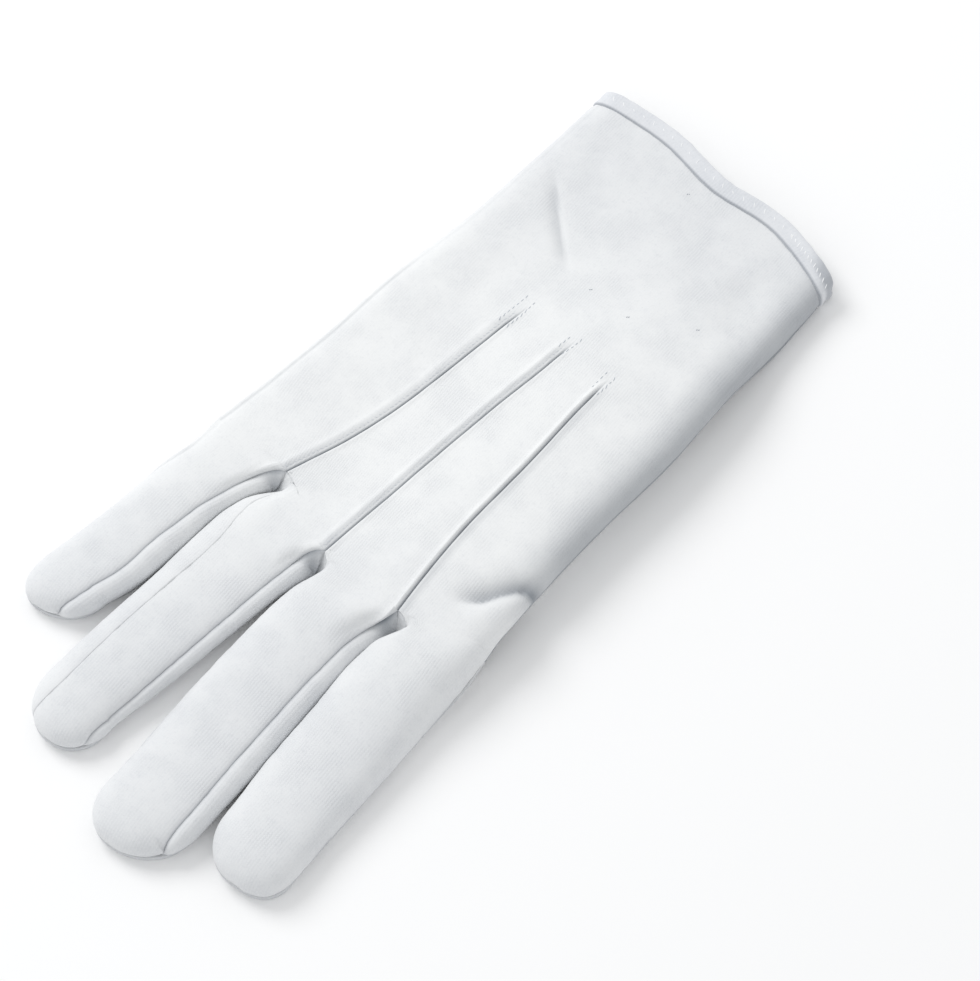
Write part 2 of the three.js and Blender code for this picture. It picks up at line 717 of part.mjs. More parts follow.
// The hem: a turned band all round the cuff's mouth.
function cuffHem() {
  // The mouth's outline, t rows from the hem seam: over the back, then back along the palm.
  const outline = (t) => {
    const station = handStation(t);
    const over = backHandRow(t).slice(1, -1);
    const corner = (side) =>
      HEM_CORNER_ANGLES.map((angle) => {
        const p = across(station, placeInside(station, side, HEM_CORNER * (1 - Math.cos(angle))));
        return new THREE.Vector3(p.x, p.y, lerp(SIDE_Z, HEM_OUT, Math.sin(angle)));
      });
    const flat = palmHandRow(t).slice(3, -3).filter((_, i) => i % 2 === 0);
    const along = flat.reverse().map((p) => new THREE.Vector3(p.x, p.y, HEM_OUT));
    return [...over, ...corner("index"), ...along, ...corner("pinky").reverse()];
  };
  const seam = outline(0);
  const inside = outline(0.06);
  const profile = [
    [0, HEM_OUT * 0.8],
    [HEM_WIDTH / 2, HEM_OUT],
    [HEM_WIDTH * 0.92, HEM_OUT * 0.75],
    [HEM_WIDTH, -0.2],
    [HEM_WIDTH * 0.92, -HEM_IN],
    [HEM_WIDTH / 2, -HEM_IN],
    [0, -HEM_IN * 0.8],
  ];
  const positions = [];
  const faces = [];
  seam.forEach((point, i) => {
    const next = seam[(i + 1) % seam.length];
    const before = seam[(i + seam.length - 1) % seam.length];
    const round = next.clone().sub(before).normalize();
    const forward = point.clone().sub(inside[i]).normalize();
    const out = round.clone().cross(forward).normalize();
    out.z = Math.abs(out.z) > 0.999 ? Math.sign(out.z) : out.z;
    for (const [along, away] of profile) {
      const p = point.clone().addScaledVector(forward, along + HEM_GAP).addScaledVector(out, -away);
      positions.push(p.x, p.y, Math.max(p.z, 0));
    }
  });
  const sides = profile.length;
  for (let i = 0; i < seam.length; i += 1) {
    const here = i * sides;
    const there = ((i + 1) % seam.length) * sides;
    for (let j = 0; j < sides; j += 1) {
      const k = (j + 1) % sides;
      faces.push(here + j, there + k, there + j, here + j, here + k, there + k);
    }
  }
  const geometry = new THREE.BufferGeometry();
  geometry.setAttribute("position", new THREE.Float32BufferAttribute(positions, 3));
  geometry.setIndex(faces);
  geometry.computeVertexNormals();
  return geometry;
}

// The glove. The tables' own zero lies a little beside the middle of the finished outline.
const MIDDLE = new THREE.Vector3(0.52, -1.82, 0);
const glove = new THREE.Group();
glove.name = "ribbed_glove";

function addPiece(name, geometry, color) {
  const material = new THREE.MeshStandardMaterial({ color, roughness: 0.92, metalness: 0 });
  const mesh = new THREE.Mesh(geometry, material);
  mesh.name = name;
  mesh.position.copy(MIDDLE).negate();
  glove.add(mesh);
}

addPiece("back_panel", backPanel(), COTTON);
addPiece("palm_panel", palmPanel(), COTTON);
addPiece("fourchette_pinky_ring", fourchette(0), COTTON);
addPiece("fourchette_ring_middle", fourchette(1), COTTON);
addPiece("fourchette_middle_index", fourchette(2), COTTON);
addPiece("thumb", thumb(), COTTON);
addPiece("cuff_hem", cuffHem(), COTTON_HEM);

export default glove;
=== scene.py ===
# %% [markdown]
# # A ribbed dress glove, lying palm down
#
# The real thing is a right-hand parade glove, cut and sewn from white interlock cotton. A back
# panel and a palm panel lie on each other. Three narrow strips go in between the fingers, the thumb
# is a piece of its own, and the cuff ends in a turned and overstitched hem. Three tucks, called
# points, run over the back of the hand.
#
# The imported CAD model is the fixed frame. Every cloth piece below is worked out again from the same
# tables as the solids, but on a much finer grid, so it can carry seams, tucks and puckers.

# %% Load the fixed frame
import math

import bpy
import numpy as np
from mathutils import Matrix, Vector, noise


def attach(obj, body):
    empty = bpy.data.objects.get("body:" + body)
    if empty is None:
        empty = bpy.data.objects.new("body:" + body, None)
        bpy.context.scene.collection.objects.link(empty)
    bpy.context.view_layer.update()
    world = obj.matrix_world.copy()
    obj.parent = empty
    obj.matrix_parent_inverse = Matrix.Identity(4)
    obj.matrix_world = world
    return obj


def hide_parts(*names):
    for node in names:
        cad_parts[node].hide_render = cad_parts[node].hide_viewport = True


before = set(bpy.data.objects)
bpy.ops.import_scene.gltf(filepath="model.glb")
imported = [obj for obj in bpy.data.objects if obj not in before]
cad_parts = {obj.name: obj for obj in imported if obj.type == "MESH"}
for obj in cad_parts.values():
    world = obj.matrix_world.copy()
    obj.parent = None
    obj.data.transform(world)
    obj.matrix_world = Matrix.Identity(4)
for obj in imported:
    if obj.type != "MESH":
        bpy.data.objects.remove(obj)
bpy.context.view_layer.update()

# %% [markdown]
# ## The camera
#
# The glove was photographed from above and a little to the side, with a long lens, so its outlines
# hardly converge. A camera that is placed by angle and distance round a point on the glove is easy
# to read. It could also be aimed with a constraint, but the frame needs no such help.

# %% Place the camera
AZIMUTH = math.radians(37.6)
ELEVATION = math.radians(60)
LOOK_AT = Vector((0.0212, 0.0066, 0.0048))
DISTANCE = 0.811

back = Vector(
    (
        math.sin(AZIMUTH) * math.cos(ELEVATION),
        -math.cos(AZIMUTH) * math.cos(ELEVATION),
        math.sin(ELEVATION),
    )
)
camera_data = bpy.data.cameras.new("camera")
camera_data.lens = 118.0
camera_data.sensor_width = 36.0
camera_data.sensor_fit = "HORIZONTAL"
camera_data.clip_start = 0.01
camera_data.clip_end = 20.0
camera = bpy.data.objects.new("camera", camera_data)
camera.location = LOOK_AT + back * DISTANCE
camera.rotation_euler = back.to_track_quat("Z", "Y").to_euler()
bpy.context.scene.collection.objects.link(camera)
bpy.context.scene.camera = camera
print("camera at", [round(value, 4) for value in camera.location])

# %% [markdown]
# ## Colours and nodes
#
# Colours are noted as sRGB hex values, as a colour picker shows them, but Blender mixes light in
# linear values. One function turns the first into the second. One more adds a node with its
# settings and its links, and a third makes a material, which keeps the recipes below short.

# %% Three helpers for materials
def linear(hex_colour):
    """An sRGB hex colour such as "#F2F3F5" as linear red, green, blue and alpha."""
    channels = [int(hex_colour[i : i + 2], 16) / 255 for i in (1, 3, 5)]
    return [c / 12.92 if c <= 0.04045 else ((c + 0.055) / 1.055) ** 2.4 for c in channels] + [1.0]


def add_node(tree, kind, inputs=None, **settings):
    """The outputs of a new node. An input is given a value, or the output that feeds it."""
    new = tree.nodes.new(kind)
    for name, value in settings.items():
        setattr(new, name, value)
    for socket, value in (inputs or {}).items():
        if isinstance(value, bpy.types.NodeSocket):
            tree.links.new(value, new.inputs[socket])
        else:
            new.inputs[socket].default_value = value
    return new.outputs


def new_material(name, values):
    """A material and its shader, with values for some of the shader's sockets."""
    material = bpy.data.materials.new(name)
    material.use_nodes = True
    shader = material.node_tree.nodes["Principled BSDF"]
    for socket, value in values.items():
        shader.inputs[socket].default_value = value
    return material, shader


# %% [markdown]
# ## The floor and the light
#
# The photograph is lit softly and brightly from the upper left, on plain white. A large lamp gives
# the thin shadows beside the tucks and under the fingers. A pale surrounding fills them, so that
# white cloth stays white in its shade. The floor is a plane.

# %% Build the floor, the lamp and the surrounding
floor_mesh = bpy.data.meshes.new("floor")
floor_mesh.from_pydata([(-3, -3, 0), (3, -3, 0), (3, 3, 0), (-3, 3, 0)], [], [(0, 1, 2, 3)])
floor = bpy.data.objects.new("floor", floor_mesh)
bpy.context.scene.collection.objects.link(floor)
PAPER = {"Base Color": linear("#FAFAFA"), "Roughness": 1.0, "Specular IOR Level": 0.0}
floor_mesh.materials.append(new_material("matt white paper", PAPER)[0])

LAMP_FROM = Vector((-0.72, 0.10, 0.69))
LAMP_AWAY = 1.4
lamp_data = bpy.data.lights.new("soft box", "AREA")
lamp_data.shape = "DISK"
lamp_data.size = 0.8
lamp_data.energy = 9.0
lamp = bpy.data.objects.new("soft box", lamp_data)
lamp.location = LOOK_AT + LAMP_FROM * LAMP_AWAY
lamp.rotation_euler = LAMP_FROM.to_track_quat("Z", "Y").to_euler()
bpy.context.scene.collection.objects.link(lamp)

world = bpy.data.worlds.new("pale studio")
world.use_nodes = True
surrounding = world.node_tree.nodes["Background"]
surrounding.inputs["Color"].default_value = linear("#FDFEFF")
surrounding.inputs["Strength"].default_value = 0.77
bpy.context.scene.world = world
bpy.context.scene.view_settings.view_transform = "Standard"
bpy.context.scene.view_settings.look = "None"
print("lamp", lamp_data.energy, "W")

# %% [markdown]
# ## White interlock cotton
#
# Interlock is a close knit with the same face on both sides: straight columns of V-shaped loops,
# called wales, with fine crossways courses. The columns run along the glove, because a glove is cut
# along the cloth so that it stretches across the hand. The pattern reads the cloth's own UV map,
# which is in metres along and across the cloth, so it follows every finger.
#
# A real wale of this cloth is 0.65 mm wide and a course 0.5 mm high. Both are drawn a little
# coarser, because the render shows about four pixels to the millimetre. Cotton yarn is matt and
# slightly hairy, which the sheen and a fine noise give. Where the cloth turns into a seam, and in
# the grooves, folds, the thumb side and the hem's end, painted shade darkens it: a point attribute
# says how much, and a grey tint multiplies the colour there.

# %% The recipe for the knit
WALE = 0.00076
COURSE = 0.00062
LOOP_SLANT = 0.55
YARN_HEIGHT = 0.00016
# The middle of the back along the glove, where there is no painted falloff of light.
PAINTED_FALLOFF_MIDDLE = 0.018
# What makes the columns wander, the yarn hairy and the nap patchy. Scales are per metre.
NOISES = {
    "wander": {"Scale": 420.0, "Detail": 2.0},
    "fuzz": {"Scale": 1300.0, "Detail": 3.0, "Roughness": 0.7},
    "patches": {"Scale": 75.0, "Detail": 4.0, "Roughness": 0.62},
}
# One node for each line: its name, what it does, and its terms, which are numbers or names of
# earlier lines. A range has a low and a high end, and the values that it gives at both.
KNIT = [
    ("wear_and_painted_shade", "RANGE", "patches", 0.42, 0.6, 0.35, 1.0),
    ("patchy", "RANGE", "patches", 0.35, 0.7, 0.0, 0.28),
    ("specks", "RANGE", "fuzz", 0.52, 0.74, 0.0, 0.36),
    # Across the cloth: the distance from the middle line of a column of loops. The yarn isn't
    # perfectly even, so the columns wander by up to half their width.
    ("drift", "MULTIPLY", "wander", 0.5),
    ("side", "MULTIPLY_ADD", "across", "columns", "drift"),
    ("side", "FRACT", "side"),
    ("side", "SUBTRACT", "side", 0.5),
    ("side", "ABSOLUTE", "side"),
    ("side", "MULTIPLY", "side", 2.0),
    ("slope", "MULTIPLY", "side", "side"),
    ("column", "SUBTRACT", 1.0, "slope"),
    # Along the cloth: the loops of the column, whose arms slant away from its middle line.
    ("course", "MULTIPLY", "along", 1 / COURSE),
    ("loop", "MULTIPLY_ADD", "side", LOOP_SLANT, "course"),
    ("loop", "MULTIPLY", "loop", 2 * math.pi),
    ("loop", "SINE", "loop"),
    ("loop", "MULTIPLY_ADD", "loop", 0.3, 0.7),
    ("knit", "MULTIPLY", "column", "loop"),
    # The nap has worn down in patches, and only there do the columns stand out.
    ("bare", "MULTIPLY", "knit", "wear_and_painted_shade"),
    ("hair", "MULTIPLY", "fuzz", 0.5),
    ("height", "MULTIPLY_ADD", "bare", 0.62, "hair"),
    # The cloth is greyer in soft patches and in specks. Between its columns it gets painted shade,
    # and on the fingers and the cuff painted shade where the light falls off away from the back.
    # Painted shade between the columns of loops, in the worn patches.
    ("gap", "SUBTRACT", 1.0, "knit"),
    ("gap", "MULTIPLY", "gap", "wear_and_painted_shade"),
    ("gap", "MULTIPLY", "gap", 0.22),
    ("painted_falloff", "SUBTRACT", "own y", PAINTED_FALLOFF_MIDDLE),
    ("painted_falloff", "ABSOLUTE", "painted_falloff"),
    ("painted_falloff", "RANGE", "painted_falloff", 0.03, 0.085, 0.0, 0.45),
    ("grey", "ADD", "patchy", "gap"),
    ("grey", "ADD", "grey", "painted_falloff"),
    ("grey", "ADD", "grey", "specks"),
]
# The grey that painted shade multiplies into the cloth's colour.
PAINTED_SHADE_TINT = "#8E949C"
COTTON_FINISH = {
    "Roughness": 0.94, "Specular IOR Level": 0.18, "Sheen Weight": 0.25, "Sheen Roughness": 0.6
}


# %% Make the knitted cotton
def knitted_cotton(name, colour, shade, stretch):
    """Interlock cotton; stretch widens the columns where the cloth is pulled over a fold."""
    material, shader = new_material(name, COTTON_FINISH)
    tree = material.node_tree
    own = add_node(tree, "ShaderNodeTexCoord")["Object"]
    place = add_node(tree, "ShaderNodeUVMap", uv_map="cloth")["UV"]
    on_cloth = add_node(tree, "ShaderNodeSeparateXYZ", {"Vector": place})
    on_glove = add_node(tree, "ShaderNodeSeparateXYZ", {"Vector": own})
    made = {"across": on_cloth["X"], "along": on_cloth["Y"], "own y": on_glove["Y"]}
    made["columns"] = 1 / (WALE * stretch)
    for part, sizes in NOISES.items():
        made[part] = add_node(tree, "ShaderNodeTexNoise", {"Vector": own, **sizes})["Fac"]
    for part, operation, *terms in KNIT:
        values = dict(enumerate(made.get(term, term) for term in terms))
        if operation == "RANGE":
            made[part] = add_node(tree, "ShaderNodeMapRange", values)[0]
        else:
            made[part] = add_node(tree, "ShaderNodeMath", values, operation=operation)[0]
    relief = {"Strength": 0.7, "Distance": YARN_HEIGHT, "Height": made["height"]}
    bump = add_node(tree, "ShaderNodeBump", relief)["Normal"]
    colours = {"Factor": made["grey"], 6: linear(colour), 7: linear(shade)}
    base = add_node(tree, "ShaderNodeMix", colours, data_type="RGBA")[2]
    # The point attribute of painted shade darkens the colour where shade falls.
    crease = add_node(tree, "ShaderNodeAttribute", attribute_name="crease")["Fac"]
    tints = {"Factor": crease, 6: base, 7: linear(PAINTED_SHADE_TINT)}
    tinted = add_node(tree, "ShaderNodeMix", tints, data_type="RGBA", blend_type="MULTIPLY")[2]
    tree.links.new(tinted, shader.inputs["Base Color"])
    tree.links.new(bump, shader.inputs["Normal"])
    return material


COTTON = knitted_cotton("white interlock cotton", "#ECEDED", "#D8DADD", 1.0)
HEM_COTTON = knitted_cotton("white interlock cotton, turned hem", "#E9EAEC", "#D2D5DA", 1.15)
print("cotton wales per centimetre:", round(0.01 / WALE, 1))

# %% [markdown]
# ## Cloth as a grid
#
# Every cut piece of cloth is a sheet: rows of points, with four-sided cells between neighbouring
# rows. A subdivision surface over a few points would be the quick way, but it rounds off seams and
# tucks. A fine grid keeps them, and each point can say how far it stands up or sinks in.
#
# The sheet then gets the cloth's thickness. Its two faces lie half a thickness above and below the
# grid, and the cut edge between them is rounded, as the edge of a real knit rolls.
#
# The tables and the rules are in millimetres. A piece is turned to metres and moved to the frame's
# origin when its mesh is made, so its object stays at the origin.

# %% A sheet of cloth
CLOTH = 1.2
MIDDLE = np.array([0.52, -1.82, 0.0])
MM = 0.001
RIM_SHADE = 0.25
# Length and height of the slow swells in worn cloth, and of the small ones on them.
DRIFTS = ((19, 0.9), (7.5, 0.4))


class Cloth:
    """Rows of points with their place on the cloth, rise and painted shade."""

    def __init__(self):
        self.points, self.uv, self.rise, self.crease, self.cells = [], [], [], [], []
        self.count = 0

    def row(self, points, uv, rise=None, crease=None):
        """Adds a row and returns the numbers of its points."""
        n = len(points)
        self.points.append(np.asarray(points, float))
        self.uv.append(np.asarray(uv, float))
        self.rise.append(np.zeros(n) if rise is None else rise)
        self.crease.append(np.zeros(n) if crease is None else crease)
        self.count += n
        return np.arange(self.count - n, self.count)

    def join(self, row_a, row_b, keep=None):
        """Cells between two rows, facing up when row_b is nearer the fingertips."""
        cells = np.column_stack([row_a[:-1], row_b[:-1], row_b[1:], row_a[1:]])
        self.cells.append(cells if keep is None else cells[keep])

    def piece(self, name, material, lip=0.3, soften=0.2):
        """The closed wall round the sheet as an object in the frame."""
        points = np.concatenate(self.points)
        uv = np.concatenate(self.uv)
        rise, crease = np.concatenate(self.rise), np.concatenate(self.crease)
        cells = np.concatenate(self.cells)
        used = np.unique(cells)
        place = np.full(len(points), -1)
        place[used] = np.arange(len(used))
        cells = place[cells]
        points, uv, rise, crease = (part[used] for part in (points, uv, rise, crease))
        normals = sheet_normals(points, cells)
        drift = np.array([drift_of_cloth(point) for point in points]) * soften
        outer = points + normals * (CLOTH / 2 + rise + drift)[:, None]
        inner = points + normals * (drift - CLOTH / 2 + np.minimum(rise, 0))[:, None]
        # Edges that only one cell uses are the cut edge.
        n = len(points)
        starts = cells.ravel()
        ends = np.roll(cells, -1, axis=1).ravel()
        cut = ~np.isin(starts * n + ends, ends * n + starts) & (starts != ends)
        starts, ends = starts[cut], ends[cut]
        out = np.zeros_like(points)
        outward = np.cross(points[ends] - points[starts], normals[starts])
        np.add.at(out, starts, outward)
        np.add.at(out, ends, outward)
        rim = np.unique(np.concatenate([starts, ends]))
        out[rim] /= np.maximum(np.linalg.norm(out[rim], axis=1), 1e-9)[:, None]
        middle = (outer[rim] + inner[rim]) / 2 + out[rim] * lip
        at_rim = np.full(n, -1)
        at_rim[rim] = np.arange(len(rim)) + 2 * n
        faces = np.concatenate(
            [
                cells,
                cells[:, ::-1] + n,
                np.column_stack([starts, at_rim[starts], at_rim[ends], ends]),
                np.column_stack([at_rim[starts], starts + n, ends + n, at_rim[ends]]),
            ]
        )
        all_points = np.concatenate([outer, inner, middle])
        all_uv = np.concatenate([uv, uv, uv[rim]])
        # The cut edge gets at least RIM_SHADE of painted shade.
        all_crease = np.concatenate([crease, crease, np.maximum(crease[rim], RIM_SHADE)])
        return make_piece(name, all_points, faces, all_uv, all_crease, material)


def sheet_normals(points, cells):
    """Unit normals of the grid's points."""
    diagonals = np.cross(
        points[cells[:, 2]] - points[cells[:, 0]], points[cells[:, 3]] - points[cells[:, 1]]
    )
    normals = np.zeros_like(points)
    for corner in range(4):
        np.add.at(normals, cells[:, corner], diagonals)
    return normals / np.maximum(np.linalg.norm(normals, axis=1), 1e-9)[:, None]


def drift_of_cloth(point):
    """Worn cloth is never quite smooth: slow swells with a few smaller ones on them, in mm."""
    (slow, slow_height), (small, small_height) = DRIFTS
    elsewhere = Vector(point) / small + Vector((5, 3, 1))
    return noise.noise(Vector(point) / slow) * slow_height + noise.noise(elsewhere) * small_height


def make_piece(name, points, faces, uv, crease, material):
    """A mesh object in metres with its UV map, its attribute of painted shade and its material."""
    mesh = bpy.data.meshes.new(name)
    places = (points - MIDDLE) / 1000
    corners = [list(dict.fromkeys(face)) for face in faces.tolist()]
    mesh.from_pydata(places.tolist(), [], [face for face in corners if len(face) > 2])
    mesh.shade_smooth()
    layer = mesh.uv_layers.new(name="cloth")
    at = np.empty(len(mesh.loops), np.int32)
    mesh.loops.foreach_get("vertex_index", at)
    layer.data.foreach_set("uv", (uv[at] / 1000).astype(np.float32).ravel())
    attribute = mesh.attributes.new("crease", "FLOAT", "POINT")
    attribute.data.foreach_set("value", np.clip(crease, 0, 1).astype(np.float32))
    mesh.materials.append(material)
    mesh.validate()
    made = bpy.data.objects.new(name, mesh)
    bpy.context.scene.collection.objects.link(made)
    print(name, len(mesh.vertices), "points", sum(len(f.vertices) - 2 for f in mesh.polygons), "triangles")
    return made


# %% [markdown]
# ## Rules for curves
#
# The shape is given by a few rows of numbers, as a glove cutter's pattern is. Between the rows it
# follows smooth curves. A spline object could do that too, but here several numbers have to change
# together along the glove, so the curve is a small function.

# %% Curves through a few values
def smoothstep(x, low, high):
    share = np.clip((np.asarray(x, float) - low) / (high - low), 0, 1)
    return share * share * (3 - 2 * share)


def fade(x, low, high):
    return 1 - smoothstep(x, low, high)


def quarter_circle(distance, radius):
    """Rises from 0 to 1 over one radius, steeply at first."""
    return math.sqrt(1 - (1 - min(distance / radius, 1)) ** 2)


def mix(a, b, share):
    return a + (b - a) * share


def bell(distance, width):
    return np.exp(-((np.asarray(distance, float) / width) ** 2))


def lengths_along(points):
    """How far along a line of points each of them lies."""
    steps = np.linalg.norm(np.diff(points, axis=0), axis=1)
    return np.concatenate([[0], np.cumsum(steps)])


def nearest(stations, place):
    """The number of the column that lies nearest to a place across the cloth."""
    return int(np.argmin(np.abs(stations - place)))


def through_rows(values, t):
    """A curve through evenly spaced values, t steps from the first."""
    values = np.asarray(values, float)
    last = len(values) - 1
    i = int(min(max(math.floor(t), 0), last - 1))
    f = t - i
    a, b, c, d = (values[min(max(i + step, 0), last)] for step in (-1, 0, 1, 2))
    cubic = (2 * b - 2 * c + (c - a) / 2 + (d - b) / 2) * f**3
    square = (3 * c - 3 * b - (c - a) - (d - b) / 2) * f**2
    return cubic + square + (c - a) / 2 * f + b


def smooth_line(points, stations, knots=None):
    """A smooth curve through unevenly spaced points. A station is a point's number, with parts."""
    points = np.asarray(points, float)
    gaps = np.linalg.norm(np.diff(points, axis=0), axis=1) if knots is None else np.abs(np.diff(knots))
    gaps = np.maximum(gaps, 1e-9)
    slopes = np.diff(points, axis=0) / gaps[:, None]
    tangents = np.empty_like(points)
    weights = (gaps[:-1] + gaps[1:])[:, None]
    tangents[1:-1] = (slopes[:-1] * gaps[1:, None] + slopes[1:] * gaps[:-1, None]) / weights
    tangents[0], tangents[-1] = slopes[0], slopes[-1]
    i = np.clip(stations.astype(int), 0, len(points) - 2)
    f = (stations - i)[:, None]
    gap = gaps[i][:, None]
    return (
        (2 * f**3 - 3 * f**2 + 1) * points[i]
        + (f**3 - 2 * f**2 + f) * gap * tangents[i]
        + (3 * f**2 - 2 * f**3) * points[i + 1]
        + (f**3 - f**2) * gap * tangents[i + 1]
    )


# %% [markdown]
# ## The pattern of the hand
#
# Seven stations run from the hem seam to the knuckles. Each gives the two edges of the hand, the
# lines of the three points between them, and how high the back lies. The folded thumb lifts the
# index side, and a few soft folds sink into the back where the cloth has been creased.

# %% Tables of the hand
HAND = [
    ("hem", 8.5, [(-28.9, 117), (-6, 116.4), (14, 111.6), (34, 110.8), (54.7, 102.8)]),
    ("sleeve", 8.8, [(-30.6, 94), (-4, 94), (16, 92), (34, 89), (54.6, 83)]),
    ("wrist", 8.8, [(-33.6, 64), (-0.5, 62), (16, 59), (31, 56), (54.2, 55)]),
    ("heel", 8.8, [(-37.9, 40), (-3.8, 42), (13.6, 40), (28.7, 38), (54, 36)]),
    ("palm", 8.8, [(-40.6, 12), (-8.8, 13), (9, 13), (27.9, 13), (51.8, 13)]),
    ("arch", 8.8, [(-43.2, -6), (-13.8, -6), (5.4, -12), (26.5, -13), (50.6, -11)]),
    ("knuckles", 8.6, [(-46.2, -22), (-20.8, -24), (1.8, -36.5), (27.4, -39.5), (50.2, -34)]),
]
HAND_LINES = np.array([lines for _, _, lines in HAND], float)
HAND_CROWNS = np.array([[crown] for _, crown, _ in HAND], float)
KNUCKLES = len(HAND) - 1

CREASE = [(-25.8, 93.6), (-18, 85), (-13, 79), (-6, 72), (2, 64.5)]
DENT = [
    (34, -30), (38, -28), (42, -24.8), (44.6, -20.6), (47.3, -17.2), (51.6, -15), (56, -14.4), (62, -15)
]
DENT_LIP = [(39, -34), (44, -30), (47, -25.5), (50, -21), (53, -19)]
CUFF_HOLLOW = [(38, 98), (44, 84), (50, 70)]
# A fold's line, its half width on either side, how deep it is and how much painted shade it gets.
# The dent is where the thumb's tip lies underneath.
FOLDS = [
    {"line": CREASE, "half": (0.9, 2.4), "depth": 0.9, "shade": 0.3},
    {"line": DENT, "half": (3.6, 1.5), "depth": 2.7, "shade": 0.62},
    {"line": DENT_LIP, "half": (2.8, 3.4), "depth": -0.45, "shade": 0},
    {"line": CUFF_HOLLOW, "half": (7, 7), "depth": 0.9, "shade": 0},
]
FAR = 1e9
FOLD_FADES = 0.3
FOLD_POWER = 1.6
# The cloth stands on its foot, rises steeply to its widest line and rounds off to its top.
FOOT_Z = 2.0
FOOT_INSET = 0.7
FOOT_ANGLE = math.radians(40)
SIDE_Z = 3.6
SIDE_ROUND = 10.0
SIDE_ANGLES = np.radians([0, 25, 50, 72, 90])
SIDE_POWER = 0.85
RIB_HALF_WIDTH = 1.1
PALM_Z = CLOTH / 2
PALM_INSET = 0.45
TIP_LIP = 0.2
# How far the folded thumb lifts the palm and the back, and where that begins and ends.
PALM_LIFT, PALM_LIFT_X, PALM_LIFT_Y = 5.7, (3, 23), (-42, -27, 60, 88)
BACK_LIFT, BACK_LIFT_X, BACK_LIFT_Y = 5.3, (-18, 34), (-95, -22, 45, 104)
print("hand stations:", ", ".join(name for name, _, _ in HAND))


# %% Heights and stations of the hand
def ramp_along(y, stations):
    start, full, full_end, end = stations
    return smoothstep(y, start, full) * fade(y, full_end, end)


def palm_lift(x, y):
    return PALM_LIFT * smoothstep(x, *PALM_LIFT_X) * ramp_along(y, PALM_LIFT_Y)


def back_lift(x, y):
    return BACK_LIFT * smoothstep(x, *BACK_LIFT_X) * ramp_along(y, BACK_LIFT_Y)


def fold_share(fold, x, y):
    """1 on the fold's line, falling to 0 beside it and towards its ends. A shaded fold is sharp."""
    line = np.array(fold["line"], float)
    starts = lengths_along(line)
    gap, beside, along = np.full(x.shape, FAR), np.zeros(x.shape), np.zeros(x.shape)
    for a, b, start in zip(line, line[1:], starts):
        step = np.linalg.norm(b - a)
        ahead = (b - a) / step
        from_x, from_y = x - a[0], y - a[1]
        reached = np.clip(from_x * ahead[0] + from_y * ahead[1], 0, step)
        here = np.hypot(from_x - reached * ahead[0], from_y - reached * ahead[1])
        closer = here < gap
        gap = np.where(closer, here, gap)
        beside = np.where(closer, ahead[0] * from_y - ahead[1] * from_x, beside)
        along = np.where(closer, start + reached, along)
    left, right = fold["half"]
    run_out = FOLD_FADES * starts[-1]
    ends = smoothstep(along, 0, run_out) * fade(along, starts[-1] - run_out, starts[-1])
    reach = gap / np.where(beside > 0, left, right)
    return ends * (np.exp(-(reach**FOLD_POWER)) if fold["shade"] else bell(reach, 1))


def folds_of_back(x, y):
    """Rise and painted shade of all the folds."""
    shares = [(fold, fold_share(fold, x, y)) for fold in FOLDS]
    rise = -sum(fold["depth"] * share for fold, share in shares)
    return rise, sum(fold["shade"] * share**2 for fold, share in shares)


def place_inside(lines, side, length):
    """The place across the hand that lies a length in from one of its long edges."""
    edge, inner = (0, 1) if side == "pinky" else (4, 3)
    share = length / np.linalg.norm(lines[edge] - lines[inner])
    return share if side == "pinky" else 4 - share


def hand_edge(lines, crown, side):
    """Foot, side and shoulder of a long edge, from the foot up."""
    edge = lines[0] if side == "pinky" else lines[4]
    lift = palm_lift(*edge)
    crest = through_rows(lines, place_inside(lines, side, SIDE_ROUND))
    top = crown + back_lift(*crest)
    side_z = min(SIDE_Z + lift, top - 2)
    foot = through_rows(lines, place_inside(lines, side, FOOT_INSET))
    points = [(*foot, FOOT_Z + lift)]
    for angle in SIDE_ANGLES:
        inward = SIDE_ROUND * (1 - math.cos(angle))
        p = through_rows(lines, place_inside(lines, side, inward))
        points.append((*p, mix(side_z, top, math.sin(angle) ** SIDE_POWER)))
    return points


def back_hand_row(t):
    """Thirty-three points across the back, t stations from the hem."""
    lines = through_rows(HAND_LINES, t)
    crown = float(through_rows(HAND_CROWNS, t)[0])

    def on_back(place):
        x, y = through_rows(lines, place)
        return (x, y, float(crown + back_lift(x, y)))

    def rib_width(line):
        return RIB_HALF_WIDTH / np.linalg.norm(lines[line] - lines[line + 1])

    row = hand_edge(lines, crown, "pinky")
    row.append(on_back((1 + place_inside(lines, "pinky", SIDE_ROUND)) / 2))
    row.append(on_back(1 - rib_width(0)))
    for line in (1, 2):
        for share in (0, rib_width(line), 0.2, 0.35, 0.5, 0.65, 0.8, 1 - rib_width(line)):
            row.append(on_back(line + share))
    row.append(on_back(3))
    row.append(on_back(3 + rib_width(3)))
    row.append(on_back((3 + place_inside(lines, "index", SIDE_ROUND)) / 2))
    row.extend(reversed(hand_edge(lines, crown, "index")))
    return np.array(row, float)


# %% [markdown]
# ## The pattern of the fingers
#
# A finger's table gives its two widest lines from the crotch to the tip, its height, and how far
# round its sides the strips reach. Its cross-section is a flattened tube that stands on the palm.
# The back covers the tube from one strip's seam to the other. "seams" says how far round from the
# widest line each seam lies, in even steps from the crotch to the tip. "pull" says how tight it is,
# and "ends" how far from the tip's middle it runs out, as a share of the finger's half width. "hook"
# is how far the round seam end at the crotch stands out into this finger.

